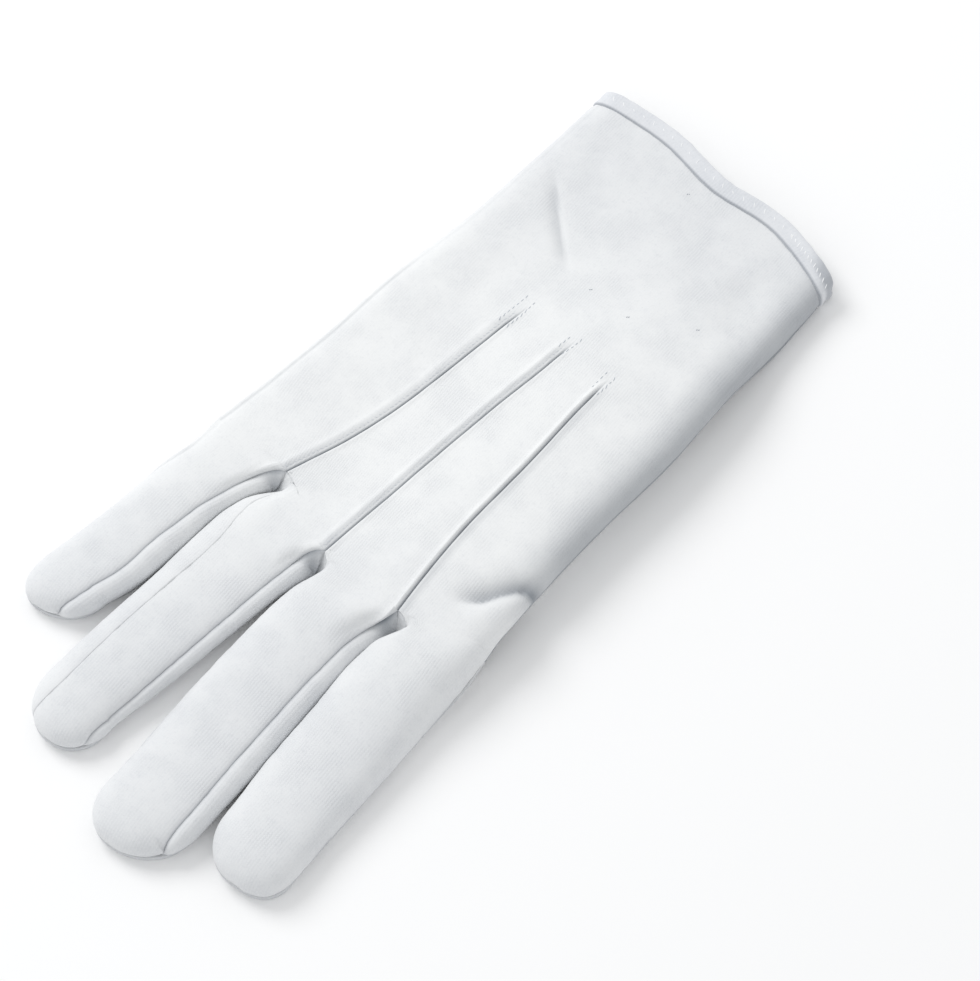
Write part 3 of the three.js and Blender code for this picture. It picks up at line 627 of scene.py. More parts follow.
# %% Tables of the fingers
FINGERS = [
    {
        "name": "pinky",
        "seams": (None, (5.0, 4.0, 5.2, 6.3, 5.3)),
        "pull": (0.5, 1.0),
        "hook": 0.0,
        "ends": (None, 0.53),
        "top": 7.9,
        "tip": (-48, -88.6),
        "round": 2.2,
        "rows": [(-27, -46.8, -22.8), (-33, -47.5, -26.6), (-40, -48.4, -28.9), (-55, -50.1, -30.4),
                 (-68, -52.2, -32.0), (-78, -54.2, -35.4)],
    },
    {
        "name": "ring",
        "seams": ((2.0, 8.2, 7.6, 7.6, 8.0), (5.0, 4.1, 3.6, 3.0, 1.9)),
        "pull": (0.05, 1.0),
        "hook": 0.9,
        "ends": (0.69, 0.65),
        "top": 8.4,
        "tip": (-21.5, -114.4),
        "round": 2.2,
        "rows": [(-28, -19.4, 5), (-33, -24.0, 3.5), (-40, -26.9, 0.3), (-48, -28.0, -2.2),
                 (-66, -29.2, -5.4), (-84, -30.8, -8.4), (-102, -32.0, -11.8)],
    },
    {
        "name": "middle",
        "seams": ((0.5, 1.2, 1.2), (5.4, 5.8, 5.9, 5.9, 5.2)),
        "pull": (0.4, 1.0),
        "hook": 1.9,
        "ends": (1.1, 0.96),
        "top": 8.6,
        "tip": (8.5, -126.2),
        "round": 2.2,
        "rows": [(-40, 3.0, 29), (-45, 1.2, 25.8), (-50, 0.3, 24.4), (-62, -0.9, 23.8),
                 (-88, -1.4, 23.9), (-112, -1.2, 23.4)],
    },
    {
        "name": "index",
        "seams": ((0.5, 1.2, 1.2), None),
        "pull": (0.4, 0.5),
        "hook": 2.4,
        "ends": (1.1, None),
        "top": 9.6,
        "tip": (38.8, -116),
        "round": 2.6,
        "rows": [(-42, 29.8, 50.0), (-46, 27.3, 49.9), (-51, 26.0, 49.8), (-70, 25.5, 49.4),
                 (-90, 25.7, 49.1), (-103, 26.5, 48.8)],
    },
]
for finger in FINGERS:
    finger["table"] = np.array(finger["rows"], float)
    finger["length"] = finger["table"][0, 0] - finger["table"][-1, 0]
    print(finger["name"], "finger ends at", finger["tip"])

# Lengths past the crotch: the round seam end, its other side, and where a row has come straight
# and has left the hand's last row, slowly between the crotches and quickly beside them.
LOOP = 5.5
HOOK_ROUND = 3.4
ROOT_FAN = 24.0
SLOW_LEAVE = 19.0
QUICK_LEAVE = 6.0
EVENED = 16.0
HOOK_FADES = (4, 12)
HOOK_PULLS = 12.0
HEIGHT_PULLS = 2.6
WEB_REACH = 5.5
VALLEY_HALF = 0.85
# Points of a section from its foot to its widest line, and from there to its top.
WALL_POINTS = 9
ROUND_POINTS = 40
TIP_WALL = 0.9
TIP_POWER = 2.6
SEAM_DROP = (-0.7, 1.2)
TIP_ROWS = 23


# %% Cross-sections of a finger
def finger_sides(finger, y):
    """Widest lines at y and how far y is into the rounded tip."""
    table = finger["table"]
    ys = table[:, 0]
    end_y = ys[-1]
    i = int(np.clip(np.searchsorted(-ys, -y) - 1, 0, len(ys) - 2))
    share = (ys[i] - y) / (ys[i] - ys[i + 1])
    if share < 0:
        left, right = mix(table[i, 1:], table[i + 1, 1:], max(share, -0.6))
    else:
        left, right = smooth_line(table[:, 1:], np.array([i + min(share, 1)]), ys)[0]
    tip = float(np.clip((end_y - y) / (end_y - finger["tip"][1]), 0, 1))
    if tip == 0:
        return left, right, tip
    power = finger["round"]
    half = (table[-1, 2] - table[-1, 1]) / 2 * (1 - tip**power) ** (1 / power)
    centre = mix(table[-1, 1:].mean(), finger["tip"][0], tip**1.5)
    return centre - half, centre + half, tip


def valley_line(i, y):
    """Middle of the valley between finger i and the next."""
    return (finger_sides(FINGERS[i], y)[1] + finger_sides(FINGERS[i + 1], y)[0]) / 2


def finger_section(finger, y):
    """The finger's outline at y, from its right foot over the top to its left foot."""
    left, right, tip = finger_sides(finger, y)
    centre, half = (left + right) / 2, (right - left) / 2
    side_z = mix(SIDE_Z, FOOT_Z + TIP_WALL, smoothstep(tip, 0.3, 0.95))
    full_top = finger["top"] + float(back_lift(centre, y))
    top = mix(FOOT_Z, full_top, (1 - tip**TIP_POWER) ** (1 / TIP_POWER))
    inset = min(FOOT_INSET, half / 3)
    foot_turn = FOOT_ANGLE * np.linspace(1, 0, WALL_POINTS)
    inward = (1 - np.cos(foot_turn)) / (1 - math.cos(FOOT_ANGLE))
    down = np.sin(foot_turn) / math.sin(FOOT_ANGLE)
    turn = np.linspace(0, math.pi / 2, ROUND_POINTS + 1)[1:]
    x = np.concatenate([half - inset * inward, half * np.cos(turn) ** SIDE_POWER])
    x[-1] = 0

    def heights(edge_x):
        lift = float(palm_lift(edge_x, y))
        wall = mix(side_z + lift, FOOT_Z + lift, down)
        return np.concatenate([wall, mix(side_z + lift, top, np.sin(turn) ** SIDE_POWER)])

    points = np.column_stack(
        [
            np.concatenate([centre + x, centre - x[-2::-1]]),
            np.full(2 * len(x) - 1, y),
            np.concatenate([heights(right), heights(left)[-2::-1]]),
        ]
    )
    lengths = lengths_along(points)
    right, left = lengths[WALL_POINTS - 1], lengths[-WALL_POINTS]
    return {
        "points": points, "lengths": lengths, "right": right, "left": left, "tip": tip, "centre": centre
    }


def on_section(section, at):
    """Points at lengths along a section."""
    columns = section["points"].T
    return np.stack([np.interp(at, section["lengths"], column) for column in columns], axis=-1)


def seam_rise(finger, which, share):
    """How far a seam lies from the widest line, at a share of the way from crotch to tip."""
    rises = finger["seams"][which]
    return float(through_rows(rises, (len(rises) - 1) * min(max(share, 0), 1)))


def sewn(finger, which):
    """Whether a finger has a strip on its left (0) or right (1)."""
    return finger["seams"][which] is not None


def seam_places(finger, section, distance):
    """Where the back's two edges are on the section."""
    if section["tip"] > 0:
        return tip_seam_places(finger, section)
    share = distance / finger["length"]
    right, left = 0.0, section["lengths"][-1]
    if sewn(finger, 1):
        right = section["right"] + seam_rise(finger, 1, share)
    if sewn(finger, 0):
        left = section["left"] - seam_rise(finger, 0, share)
    return right, left


def tip_seam_places(finger, section):
    """In the rounded tip a seam runs on, until it meets the outline and ends on the palm."""
    tip, points, lengths = section["tip"], section["points"], section["lengths"]
    start = finger_section(finger, finger["table"][-1, 0])
    top, widest = len(points) // 2, WALL_POINTS - 1
    halves = {1: slice(widest, top + 1), -1: slice(top, -widest)}
    places = []
    for side, which in ((1, 1), (-1, 0)):
        foot = 0.0 if side == 1 else lengths[-1]
        if not sewn(finger, which):
            places.append(foot)
            continue
        rise = seam_rise(finger, which, 1)
        from_side = start["right"] + rise if side == 1 else start["left"] - rise
        x_start = on_section(start, from_side)[0]
        edge = widest if side == 1 else -WALL_POINTS
        half_width = abs(start["points"][edge, 0] - start["centre"])
        x_end = finger["tip"][0] + side * half_width * finger["ends"][which]
        x = mix(x_start, x_end, tip**1.5)
        past_widest = side * (x - points[edge, 0])
        place = np.interp(-x, -points[halves[side], 0], lengths[halves[side]])
        places.append(mix(float(place), foot, smoothstep(past_widest, *SEAM_DROP)))
    return places[0], places[1]


def finger_stations(finger, root_y):
    """Distances from the root at which a finger has a row, and the same into its tip."""
    end_y = finger["table"][-1, 0]
    loop = LOOP * (1 - np.cos(np.linspace(0, math.pi / 2, 10)[1:]))
    body = np.linspace(LOOP, root_y - end_y, int((root_y - end_y - LOOP) / 1.0) + 1)[1:]
    tip = (end_y - finger["tip"][1]) * np.sin(np.linspace(0, math.pi / 2, TIP_ROWS)[1:-1])
    return np.concatenate([loop, body, root_y - end_y + tip])


def leaving_sideways(distance, seam_gap):
    """How far a row has left the hand's last row. A quarter circle makes the seam's hook."""
    slow = smoothstep(distance, 0, SLOW_LEAVE)
    return mix(slow, quarter_circle(distance, LOOP), bell(seam_gap, HOOK_PULLS))


def leaving_height(distance, seam_gap):
    """The cloth rolls down quickly beside a crotch, and runs on slowly between the crotches."""
    slow = smoothstep(distance, 0, SLOW_LEAVE)
    quick = smoothstep(distance, 0, QUICK_LEAVE)
    return mix(slow, quick, bell(seam_gap, HEIGHT_PULLS))


# %% [markdown]
# ## The back panel
#
# One cut of cloth covers the back of the hand and all four fingers. The three points are pinched
# tucks. From the pinky side the cloth swells up to a tuck and falls into a sharp groove, where a
# row of stitches pulls it tight, and past the groove the next panel stands up again. They could be
# raised with a bump map, but a real tuck casts a real shadow, so they are in the mesh, on columns
# only a fifth of a millimetre apart.
#
# At the crotch of two fingers the seam makes a small round hook, and the eased cloth puckers round
# it. Beside every seam the cloth dips into the stitches.

# %% Grooves, tucks and puckers of the back
BACK_COUNTS = [3, 8, 9, 4, 3, 9, 9, 6] + [6, 6, 3, 3, 3, 3, 5, 6] * 2 + [6, 7, 7, 3, 4, 4, 4, 3]
RIB_END_Y = [53, 51, 46]
RIB_COLUMNS = [8, 16, 24]
TUCKS = [
    {"swell": 0.42, "at": -2.1, "width": 0.9, "far": 0.24, "grey": -1.2},
    {"swell": 0.44, "at": -2.1, "width": 0.9, "far": 0.24, "grey": -1.2},
    {"swell": 0.6, "at": -0.85, "width": 0.6, "far": 0.1, "grey": 1.3},
]
FAR_SIDE, FAR_HALF = 0.85, 0.6
GROOVE_DEPTH, GROOVE_HALF, GROOVE_SHADE = 0.66, 0.26, 0.95
TUCK_HOLLOW, TUCK_HOLLOW_HALF = 0.1, 3.0
GREY_SHADE, GREY_HALF = 0.24, 0.85
SEAM_DIP, SEAM_REACH, SEAM_SHADE, SEAM_HALF = 0.55, 0.7, 0.42, 0.3
RIPPLE_HEIGHT, RIPPLE_LENGTH, RIPPLE_REACH = 0.2, 2.1, 2.4
PUCKERS, PUCKER_HEIGHT, PUCKER_AT, PUCKER_HALF = 13, 0.1, 4.2, 1.7
BELOW_HOOK = 2.2
HOOK_RIM = 0.34
SIDE_SEAM_STATION = 2.6
PINKY_SEAM_UP = (5.2, 1.0)
INDEX_SIDE_SHADE = 0.62


def stations_of(counts):
    parts = [i + np.arange(count) / count for i, count in enumerate(counts)]
    return np.concatenate(parts + [[len(counts)]])


def tuck(sizes, offset, strength):
    """Rise and painted shade of a tuck at an offset across it, positive to the index side."""
    swell = sizes["swell"] * bell(offset - sizes["at"], sizes["width"])
    far = sizes["far"] * bell(offset - FAR_SIDE, FAR_HALF)
    groove = GROOVE_DEPTH * bell(offset, GROOVE_HALF)
    rise = swell + far - groove - TUCK_HOLLOW * bell(offset, TUCK_HOLLOW_HALF)
    # Painted shade: the shadow in the groove, and a grey band on the flank that turns from the light.
    grey = GREY_SHADE * bell(offset - sizes["grey"], GREY_HALF)
    dark = GROOVE_SHADE * bell(offset, GROOVE_HALF * 0.9) + grey
    return strength * rise, strength * dark


def seam_dip(distance, pull=1.0):
    """The outer face sinks to a sharp groove at a seam, and painted shade darkens the groove."""
    distance = np.abs(distance)
    dark = SEAM_SHADE * pull * np.exp(-((distance / SEAM_HALF) ** 1.5))
    return -SEAM_DIP * pull * np.exp(-distance / SEAM_REACH), dark


def side_seam(offset):
    """The rolled seam that joins back and palm on the pinky side, and its shade."""
    rise = 0.3 * bell(offset, 0.6) - 0.16 * bell(np.abs(offset) - 1.2, 0.4)
    return rise, 0.22 * bell(np.abs(offset) - 0.95, 0.3)


def eased(distance, y, seed):
    """Small ripples that run off a seam, where cloth was eased into it."""
    places = [Vector((float(v) / RIPPLE_LENGTH, seed, 0.5)) for v in np.atleast_1d(y)]
    ripple = np.array([noise.noise(place) for place in places])
    return RIPPLE_HEIGHT * ripple * np.exp(-np.abs(distance) / RIPPLE_REACH)


def hook_pucker(x, y):
    """Radial puckers round the three hooked seam ends."""
    total = np.zeros_like(x)
    for line in (1, 2, 3):
        cx, cy = HAND_LINES[-1, line] - (0, BELOW_HOOK)
        reach = np.hypot(x - cx, y - cy)
        angle = np.arctan2(y - cy, x - cx)
        above = smoothstep(np.sin(angle), -0.5, 0.1)
        ring = PUCKER_HEIGHT * bell(reach - PUCKER_AT, PUCKER_HALF) * above
        total += np.cos(angle * PUCKERS + line) * ring
    return total


def row_uv(points, at_middle):
    """Places on the flat cloth: across by the length round the hand, along by y."""
    lengths = lengths_along(points)
    return np.column_stack([points[at_middle, 0] + lengths - lengths[at_middle], points[:, 1]])


# %% Rows of the back over the hand
BACK_STATIONS = stations_of(BACK_COUNTS)
MIDDLE_COLUMN = nearest(BACK_STATIONS, RIB_COLUMNS[1])
SEAM_COLUMN = nearest(BACK_STATIONS, SIDE_SEAM_STATION)
HAND_STEPS = 168
FIRST_STATION = 25.0
TUCK_ENDS = (9, 1)
TUCK_UNEVEN, UNEVEN_LENGTH = 0.2, 5
SIDE_SEAM_LEAST, SIDE_SEAM_FADES = 0.3, (38, 52)
EDGE_PULL = 0.6
FOLD_ENDS = (0.5, 6)
SHADE_ACROSS, SHADE_ALONG = (1, 15), (-30, 0)


def back_row_details(points, t):
    """Rise and painted shade of one row over the hand."""
    rise, crease = np.zeros(len(points)), np.zeros(len(points))
    rise += hook_pucker(points[:, 0], points[:, 1])
    lengths = row_uv(points, MIDDLE_COLUMN)[:, 0]
    for column, end_y, sizes in zip(RIB_COLUMNS, RIB_END_Y, TUCKS):
        at = nearest(BACK_STATIONS, column)
        strength = fade(points[at, 1], end_y - TUCK_ENDS[0], end_y - TUCK_ENDS[1])
        # Hand-guided stitching: the tuck isn't equally full all along.
        along = Vector((points[at, 1] / UNEVEN_LENGTH, column, 0))
        strength *= 1 + TUCK_UNEVEN * noise.noise(along)
        if strength > 0:
            parts = tuck(sizes, lengths - lengths[at], strength)
            rise, crease = rise + parts[0], crease + parts[1]
    ridge, shade = side_seam(lengths - lengths[SEAM_COLUMN])
    shown = mix(SIDE_SEAM_LEAST, 1, fade(points[SEAM_COLUMN, 1], *SIDE_SEAM_FADES))
    rise, crease = rise + ridge * shown, crease + shade * shown
    # The foot of both edges, and the seam under the hem.
    for at in (0, -1):
        rise += seam_dip(lengths - lengths[at], EDGE_PULL)[0]
    from_hem = np.full(len(points), t * FIRST_STATION)
    hem_dip, hem_crease = seam_dip(from_hem)
    rise += hem_dip + eased(from_hem, lengths, 3.0)
    fold_rise, fold_crease = folds_of_back(points[:, 0], points[:, 1])
    fold_rise *= smoothstep(lengths[-1] - lengths, *FOLD_ENDS)
    # The thumb side turns away under the hand, and painted shade darkens it towards its edge.
    side = fade(lengths[-1] - lengths, *SHADE_ACROSS)
    wear_and_painted_shade = INDEX_SIDE_SHADE * side * smoothstep(points[:, 1], *SHADE_ALONG)
    return rise + fold_rise, crease + hem_crease + fold_crease + wear_and_painted_shade


def back_hand_rows():
    for step in range(HAND_STEPS + 1):
        t = KNUCKLES * step / HAND_STEPS
        points = smooth_line(back_hand_row(t), BACK_STATIONS)
        yield points, row_uv(points, MIDDLE_COLUMN), back_row_details(points, t)


# %% Rows of the back over a finger
NO_SEAM = 99.0
EVENING = 0.6


def root_gaps(finger, root):
    """Lengths along the root's row, and distances from its left and right crotch."""
    lengths = lengths_along(root)
    to_left, to_right = lengths, lengths[-1] - lengths
    if not sewn(finger, 0):
        to_left = np.full(len(root), NO_SEAM)
    if not sewn(finger, 1):
        to_right = np.full(len(root), NO_SEAM)
    return lengths, to_left, to_right


def root_places(finger, lengths, left, right):
    """Places on a section for the root's points, unstretched beside an edge that has no seam."""
    share = lengths / lengths[-1]
    spare = left - right - lengths[-1]
    if not sewn(finger, 0):
        return left - lengths - spare * share**2
    if not sewn(finger, 1):
        return right + lengths[-1] - lengths + spare * (1 - share) ** 2
    return mix(left, right, share)


def hook_side(finger, distance):
    """How far the hook's other side stands out, at a distance past the crotch."""
    return finger["hook"] * quarter_circle(distance, HOOK_ROUND) * fade(distance, *HOOK_FADES)


def finger_back_rows(finger, root, root_uv, root_rise):
    """Rows of one finger's back, with the rise that fades in from the hand's last row."""
    root_y = root[:, 1].mean()
    count = len(root)
    even = np.linspace(0, 1, count)
    even = mix(even, (1 - np.cos(math.pi * even)) / 2, EVENING)
    lengths, to_left, to_right = root_gaps(finger, root)
    seam_gap = np.minimum(to_left, to_right)
    root_rise = root_rise - hook_pucker(root[:, 0], root[:, 1])
    for distance in finger_stations(finger, root_y):
        fan = fade(distance, 0, ROOT_FAN)
        ys = root_y - distance + (root[:, 1] - root_y) * fan
        away = leaving_sideways(distance, seam_gap)
        sunk = leaving_height(distance, seam_gap)
        evened = smoothstep(distance, 0, EVENED)
        points, places, rims = np.empty((count, 3)), np.empty(count), np.empty((count, 3))
        # Past the fan all points of a row lie on one section. Before that each has its own.
        groups = [np.array([i]) for i in range(count)] if fan else [np.arange(count)]
        for at in groups:
            section = finger_section(finger, float(ys[at[0]]))
            right, left = seam_places(finger, section, distance)
            places[at] = mix(left, right, even[at])
            if fan:
                unstretched = root_places(finger, lengths, left, right)[at]
                places[at] = mix(unstretched, places[at], evened)
            points[at] = on_section(section, places[at])
            rims[at] = left, right, section["centre"] + section["lengths"][-1] / 2
        edges = (rims[:, 0] - places, places - rims[:, 1])
        points[:, 0] = mix(root[:, 0], points[:, 0], away) + hook_side(finger, distance) * bell(to_left, 5)
        points[:, 1] = ys
        points[:, 2] = mix(root[:, 2], points[:, 2], sunk)
        flat = np.column_stack([rims[:, 2] - places, ys])
        uv = mix(root_uv + np.array([0, -distance]), flat, away[:, None])
        rise = root_rise * fade(distance, 0, 10) + hook_pucker(points[:, 0], ys)
        crease = np.zeros(count)
        for side, edge in enumerate(edges):
            dip, dark = seam_dip(edge, finger["pull"][side])
            rise += dip * away + eased(edge, ys, finger["tip"][0] + side)
            crease += dark * away
            if sewn(finger, side):
                rim = HOOK_RIM * bell(edge - 1.0, 0.6)
                rise += rim * fade(distance, *HOOK_FADES)
        if not sewn(finger, 0):
            # The side seam runs on along the little finger, from the hand's place for it.
            from_edge = mix(*PINKY_SEAM_UP, smoothstep(distance, 4, 30))
            ridge, shade = side_seam(edges[0] - from_edge)
            tip = finger_sides(finger, float(ys[0]))[2]
            begun = smoothstep(distance, 2, 12) * fade(tip, 0.2, 0.9)
            rise += ridge * begun
            crease += shade * begun
        yield points, uv, rise, crease


# %% Sew the back panel together
back_cloth = Cloth()
hand_rows, hand_parts = [], []
for points, uv, (rise, crease) in back_hand_rows():
    hand_rows.append(back_cloth.row(points, uv, rise, crease))
    hand_parts.append((points, uv, rise))
for row_a, row_b in zip(hand_rows, hand_rows[1:]):
    back_cloth.join(row_a, row_b)

finger_edges = []
for i, finger in enumerate(FINGERS):
    first, last = (nearest(BACK_STATIONS, 8 * k) for k in (i, i + 1))
    root, root_uv, root_rise = (part[first : last + 1] for part in hand_parts[-1])
    previous = hand_rows[-1][first : last + 1]
    edges = []
    for points, uv, rise, crease in finger_back_rows(finger, root, root_uv, root_rise):
        row = back_cloth.row(points, uv, rise, crease)
        back_cloth.join(previous, row)
        previous = row
        edges.append((points[0], points[-1]))
    finger_edges.append({"root": (root[0], root[-1]), "root_y": root[:, 1].mean(), "rows": edges})
back_panel = back_cloth.piece("back", COTTON, lip=0.15, soften=0.3)

# %% [markdown]
# ## The strips between the fingers
#
# Glove makers call them fourchettes: one strip runs down the side of a finger, round the crotch and
# along the next finger. It gives the finger its depth. Worn in, each strip puffs out as a soft roll
# beside its seam, and it plunges into the gap at the crotch. The rows below start on the back's own
# edge, so the two cloths meet in the seam whatever its path.

# %% Make the three strips
STRIP_STEPS = 18
# A strip runs out steeply from its seam and flat to its foot.
STRIP_POWER = 2.6
HOLLOW_AT = (-1.6, -3.0)
HOLLOW_SHADE, HOLLOW_HALF = 0.6, 2.6
# Past the crotch the foot moves out and on. The slope into the crotch is a little swollen.
FOOT_OUT, FOOT_SPREAD, FOOT_LAG = 0.1, 0.12, 0.25
SLOPE_SWELL = 0.3
PAST_CROTCH = (-4.5, 0.5)
LEAST_PUFF, MOST_PUFF = 0.2, 0.7


def strip_side(index, finger, edges, outward, web_foot):
    """Rows of one finger's side, from the crotch to the tip, each from the seam to the foot."""
    which = 1 if outward > 0 else 0
    corner = edges["root"][which]
    distances = finger_stations(finger, edges["root_y"])
    share = np.linspace(0, 1, STRIP_STEPS + 1)
    for distance, pair in zip(distances, edges["rows"]):
        edge = pair[which]
        section = finger_section(finger, float(edge[1]))
        right, left = seam_places(finger, section, distance)
        start, end = (right, 0.0) if outward > 0 else (left, section["lengths"][-1])
        past = smoothstep(web_foot[1] - edge[1], *PAST_CROTCH)
        places = mix(start, end, share)
        shift = edge - on_section(section, np.array([start]))[0]
        ring = on_section(section, places) + shift * (1 - share)[:, None]
        limit = valley_line(index, float(edge[1])) - outward * VALLEY_HALF
        over = outward * (ring[:, 0] - limit)
        ring[:, 0] = limit - outward * np.where(over > 0, 0, -over)
        reach = corner[1] - edge[1]
        foot_x = web_foot[0] - outward * (FOOT_OUT + FOOT_SPREAD * reach)
        foot = np.array([foot_x, web_foot[1] - FOOT_LAG * reach, 0])
        foot[2] = FOOT_Z + float(palm_lift(foot[0], foot[1]))
        slope = mix(edge, foot, share[:, None])
        slope[:, 2] = mix(foot[2], edge[2], (1 - share) ** STRIP_POWER)
        slope[:, 2] += SLOPE_SWELL * np.sin(math.pi * np.minimum(share * 2.2, 1))
        yield mix(slope, ring, past), places, abs(start - end), edge[1]


def hollow_shade(points, corner):
    """A strip's end is in the shade of the hook that it is sewn into."""
    x, y = points[:, 0] - corner[0] - HOLLOW_AT[0], points[:, 1] - corner[1] - HOLLOW_AT[1]
    return HOLLOW_SHADE * bell(np.hypot(x, y), HOLLOW_HALF)


def strip(index, name):
    cloth = Cloth()
    corner = finger_edges[index]["root"][1]
    web_y = corner[1] - WEB_REACH
    web_foot = np.array([valley_line(index, web_y), web_y, 0.0])
    web_foot[2] = FOOT_Z + float(palm_lift(*web_foot[:2]))
    share = np.linspace(0, 1, STRIP_STEPS + 1)
    rows = []
    for side, outward in ((index, 1), (index + 1, -1)):
        made = []
        finger, edges = FINGERS[side], finger_edges[side]
        for points, places, width, y in strip_side(index, finger, edges, outward, web_foot):
            from_seam = np.abs(places - places[0])
            pull = finger["pull"][1 if outward > 0 else 0]
            dip, dark = seam_dip(from_seam, pull)
            full = LEAST_PUFF + MOST_PUFF * pull
            puff = full * np.sin(math.pi * share**0.7) * smoothstep(width, 1.5, 5)
            ripples = eased(from_seam * 0.6, np.full(len(share), y), 40.0 + 7 * side)
            uv = np.column_stack([outward * (1.0 + from_seam), np.full(len(share), y)])
            made.append((points, uv, dip + puff + ripples, dark + hollow_shade(points, corner)))
        rows.append(made)
    web = mix(corner, web_foot, share[:, None])
    web[:, 2] = mix(web_foot[2], corner[2], (1 - share) ** STRIP_POWER)
    dip, dark = seam_dip(share * 6)
    web_uv = np.column_stack([np.zeros(len(share)), web[:, 1]])
    web_row = (web, web_uv, dip, dark + hollow_shade(web, corner))
    order = rows[0][::-1] + [web_row] + rows[1]
    numbers = [cloth.row(points, uv, rise, crease) for points, uv, rise, crease in order]
    for row_a, row_b in zip(numbers, numbers[1:]):
        cloth.join(row_b, row_a)
    return cloth.piece(name, COTTON, lip=0.1)


STRIP_NAMES = ["pinky_ring", "ring_middle", "middle_index"]
strips = [strip(index, "strip_" + name) for index, name in enumerate(STRIP_NAMES)]

# %% [markdown]
# ## The palm panel
#
# The palm is cut like the back, without tucks. Its edge rolls out a little under the side walls,
# which shows as the thin lip round each fingertip. The folded thumb lies under its index side and
# lifts it, and the thumb's hole is inside the thumb's mouth.

# %% Make the palm
PALM_COUNTS = [5] * 24
PALM_SHARES = [0, 0.12, 0.3, 0.5, 0.7, 0.88]
PALM_STEPS = 110
THUMB_HOLE = {"x": (27, 47), "y": (23, 47)}
PALM_EDGE_SHADE, PALM_EDGE_HALF = 0.8, 2.5
NEAR_KNUCKLES = 1.2
BEHIND_WEB = 0.6


def palm_crotch(i):
    y = HAND_LINES[-1, i + 1, 1] - WEB_REACH
    return np.array([valley_line(i, y), y - BEHIND_WEB])


def palm_hand_row(t):
    lines = through_rows(HAND_LINES, t).copy()
    lines[0, 0] += PALM_INSET
    lines[4, 0] -= PALM_INSET
    near = smoothstep(t, KNUCKLES - NEAR_KNUCKLES, KNUCKLES)
    for i in range(3):
        lines[i + 1] = mix(lines[i + 1], palm_crotch(i), near)
    places = [part + share for part in range(4) for share in PALM_SHARES] + [4]
    return np.array([through_rows(lines, place) for place in places])


def on_palm(points):
    return np.column_stack([points, PALM_Z + palm_lift(points[:, 0], points[:, 1])])


palm_cloth = Cloth()
palm_stations = stations_of(PALM_COUNTS)
rows = []
for step in range(PALM_STEPS + 1):
    flat = smooth_line(palm_hand_row(KNUCKLES * step / PALM_STEPS), palm_stations)
    edge_shade = PALM_EDGE_SHADE * bell(flat[:, 0] - flat[-1, 0], PALM_EDGE_HALF)
    rows.append((palm_cloth.row(on_palm(flat), flat, None, edge_shade), flat))
for (row_a, flat_a), (row_b, flat_b) in zip(rows, rows[1:]):
    centres = (flat_a[:-1] + flat_b[1:]) / 2
    (x0, x1), (y0, y1) = THUMB_HOLE["x"], THUMB_HOLE["y"]
    hole = (centres[:, 0] > x0) & (centres[:, 0] < x1) & (centres[:, 1] > y0) & (centres[:, 1] < y1)
    palm_cloth.join(row_a, row_b, ~hole)
for i, finger in enumerate(FINGERS):
    first, last = (nearest(palm_stations, 6 * k) for k in (i, i + 1))
    previous, root = rows[-1][0][first : last + 1], rows[-1][1][first : last + 1]
    root_y = root[:, 1].mean()
    for distance in finger_stations(finger, root_y):
        y = root_y - distance
        away = smoothstep(distance, 0, EVENED)
        left, right, tip = finger_sides(finger, y)
        lip_share = smoothstep(tip, 0.15, 0.6)
        inset = min(mix(PALM_INSET, -TIP_LIP, lip_share), (right - left) / 2)
        xs = np.linspace(left + inset, right - inset, len(root))
        flat = np.column_stack([mix(root[:, 0], xs, away), y + (root[:, 1] - root_y) * (1 - away)])
        row = palm_cloth.row(on_palm(flat), flat)
        palm_cloth.join(previous, row)
        previous = row
palm_panel = palm_cloth.piece("palm", COTTON, lip=0.35, soften=0.0)

# %% [markdown]
# ## The thumb
#
# The thumb is cut as its own tube and set into the palm. Here it lies folded flat under the hand, so
# only its edge shows from the side. It is lofted from ten sections, each a flattened ring, and its
# joining seam runs along both of its sides.

# %% Loft the thumb
THUMB_X = 36.8
THUMB_TOP_Z = 4.8
# From the mouth to the tip: y and z of the ring's top, y and z of its bottom, and its half width.
THUMB_SECTIONS = [
    (19, THUMB_TOP_Z, 55, THUMB_TOP_Z, 11.8),
    (18, THUMB_TOP_Z, 51, 3.0, 12.2),
    (17, THUMB_TOP_Z, 43, 1.2, 12.5),
    (15.5, THUMB_TOP_Z, 32, 0.6, 12.6),
    (12, THUMB_TOP_Z, 19, 0.6, 12.6),
    (4, THUMB_TOP_Z, 6, 0.6, 12.5),
    (-5, THUMB_TOP_Z, -5, 0.6, 12.0),
    (-13, THUMB_TOP_Z, -13, 0.6, 11.0),
    (-18.5, THUMB_TOP_Z - 0.3, -18.5, 0.6, 8.6),
    (-22.5, THUMB_TOP_Z - 1, -22.5, 1.0, 4.6),
]
THUMB_SIDES = 96
THUMB_ROWS = 100
THUMB_POWER = 0.7
THUMB_END = (THUMB_X, -24.2, 2.6)
THUMB_FLAT, THUMB_PULL = 0.45, 0.7

thumb_cloth = Cloth()
previous = None
for t in np.linspace(0, len(THUMB_SECTIONS) - 1, THUMB_ROWS):
    top_y, top_z, bottom_y, bottom_z, half = through_rows(THUMB_SECTIONS, t)
    turn = np.linspace(0, 2 * math.pi, THUMB_SIDES + 1)
    across, up = (np.sign(wave) * np.abs(wave) ** THUMB_POWER for wave in (np.sin(turn), np.cos(turn)))
    down = (1 - up) / 2
    x, y, z = THUMB_X + half * across, mix(top_y, bottom_y, down), mix(top_z, bottom_z, down)
    points = np.column_stack([x, y, z])
    seam = np.minimum(np.abs(turn - math.pi / 2), np.abs(turn - 3 * math.pi / 2)) * half * THUMB_FLAT
    dip, dark = seam_dip(seam)
    uv = np.column_stack([lengths_along(points), y])
    row = thumb_cloth.row(points, uv, dip * THUMB_PULL, dark)
    row[-1] = row[0]
    if previous is not None:
        thumb_cloth.join(previous, row)
    previous = row
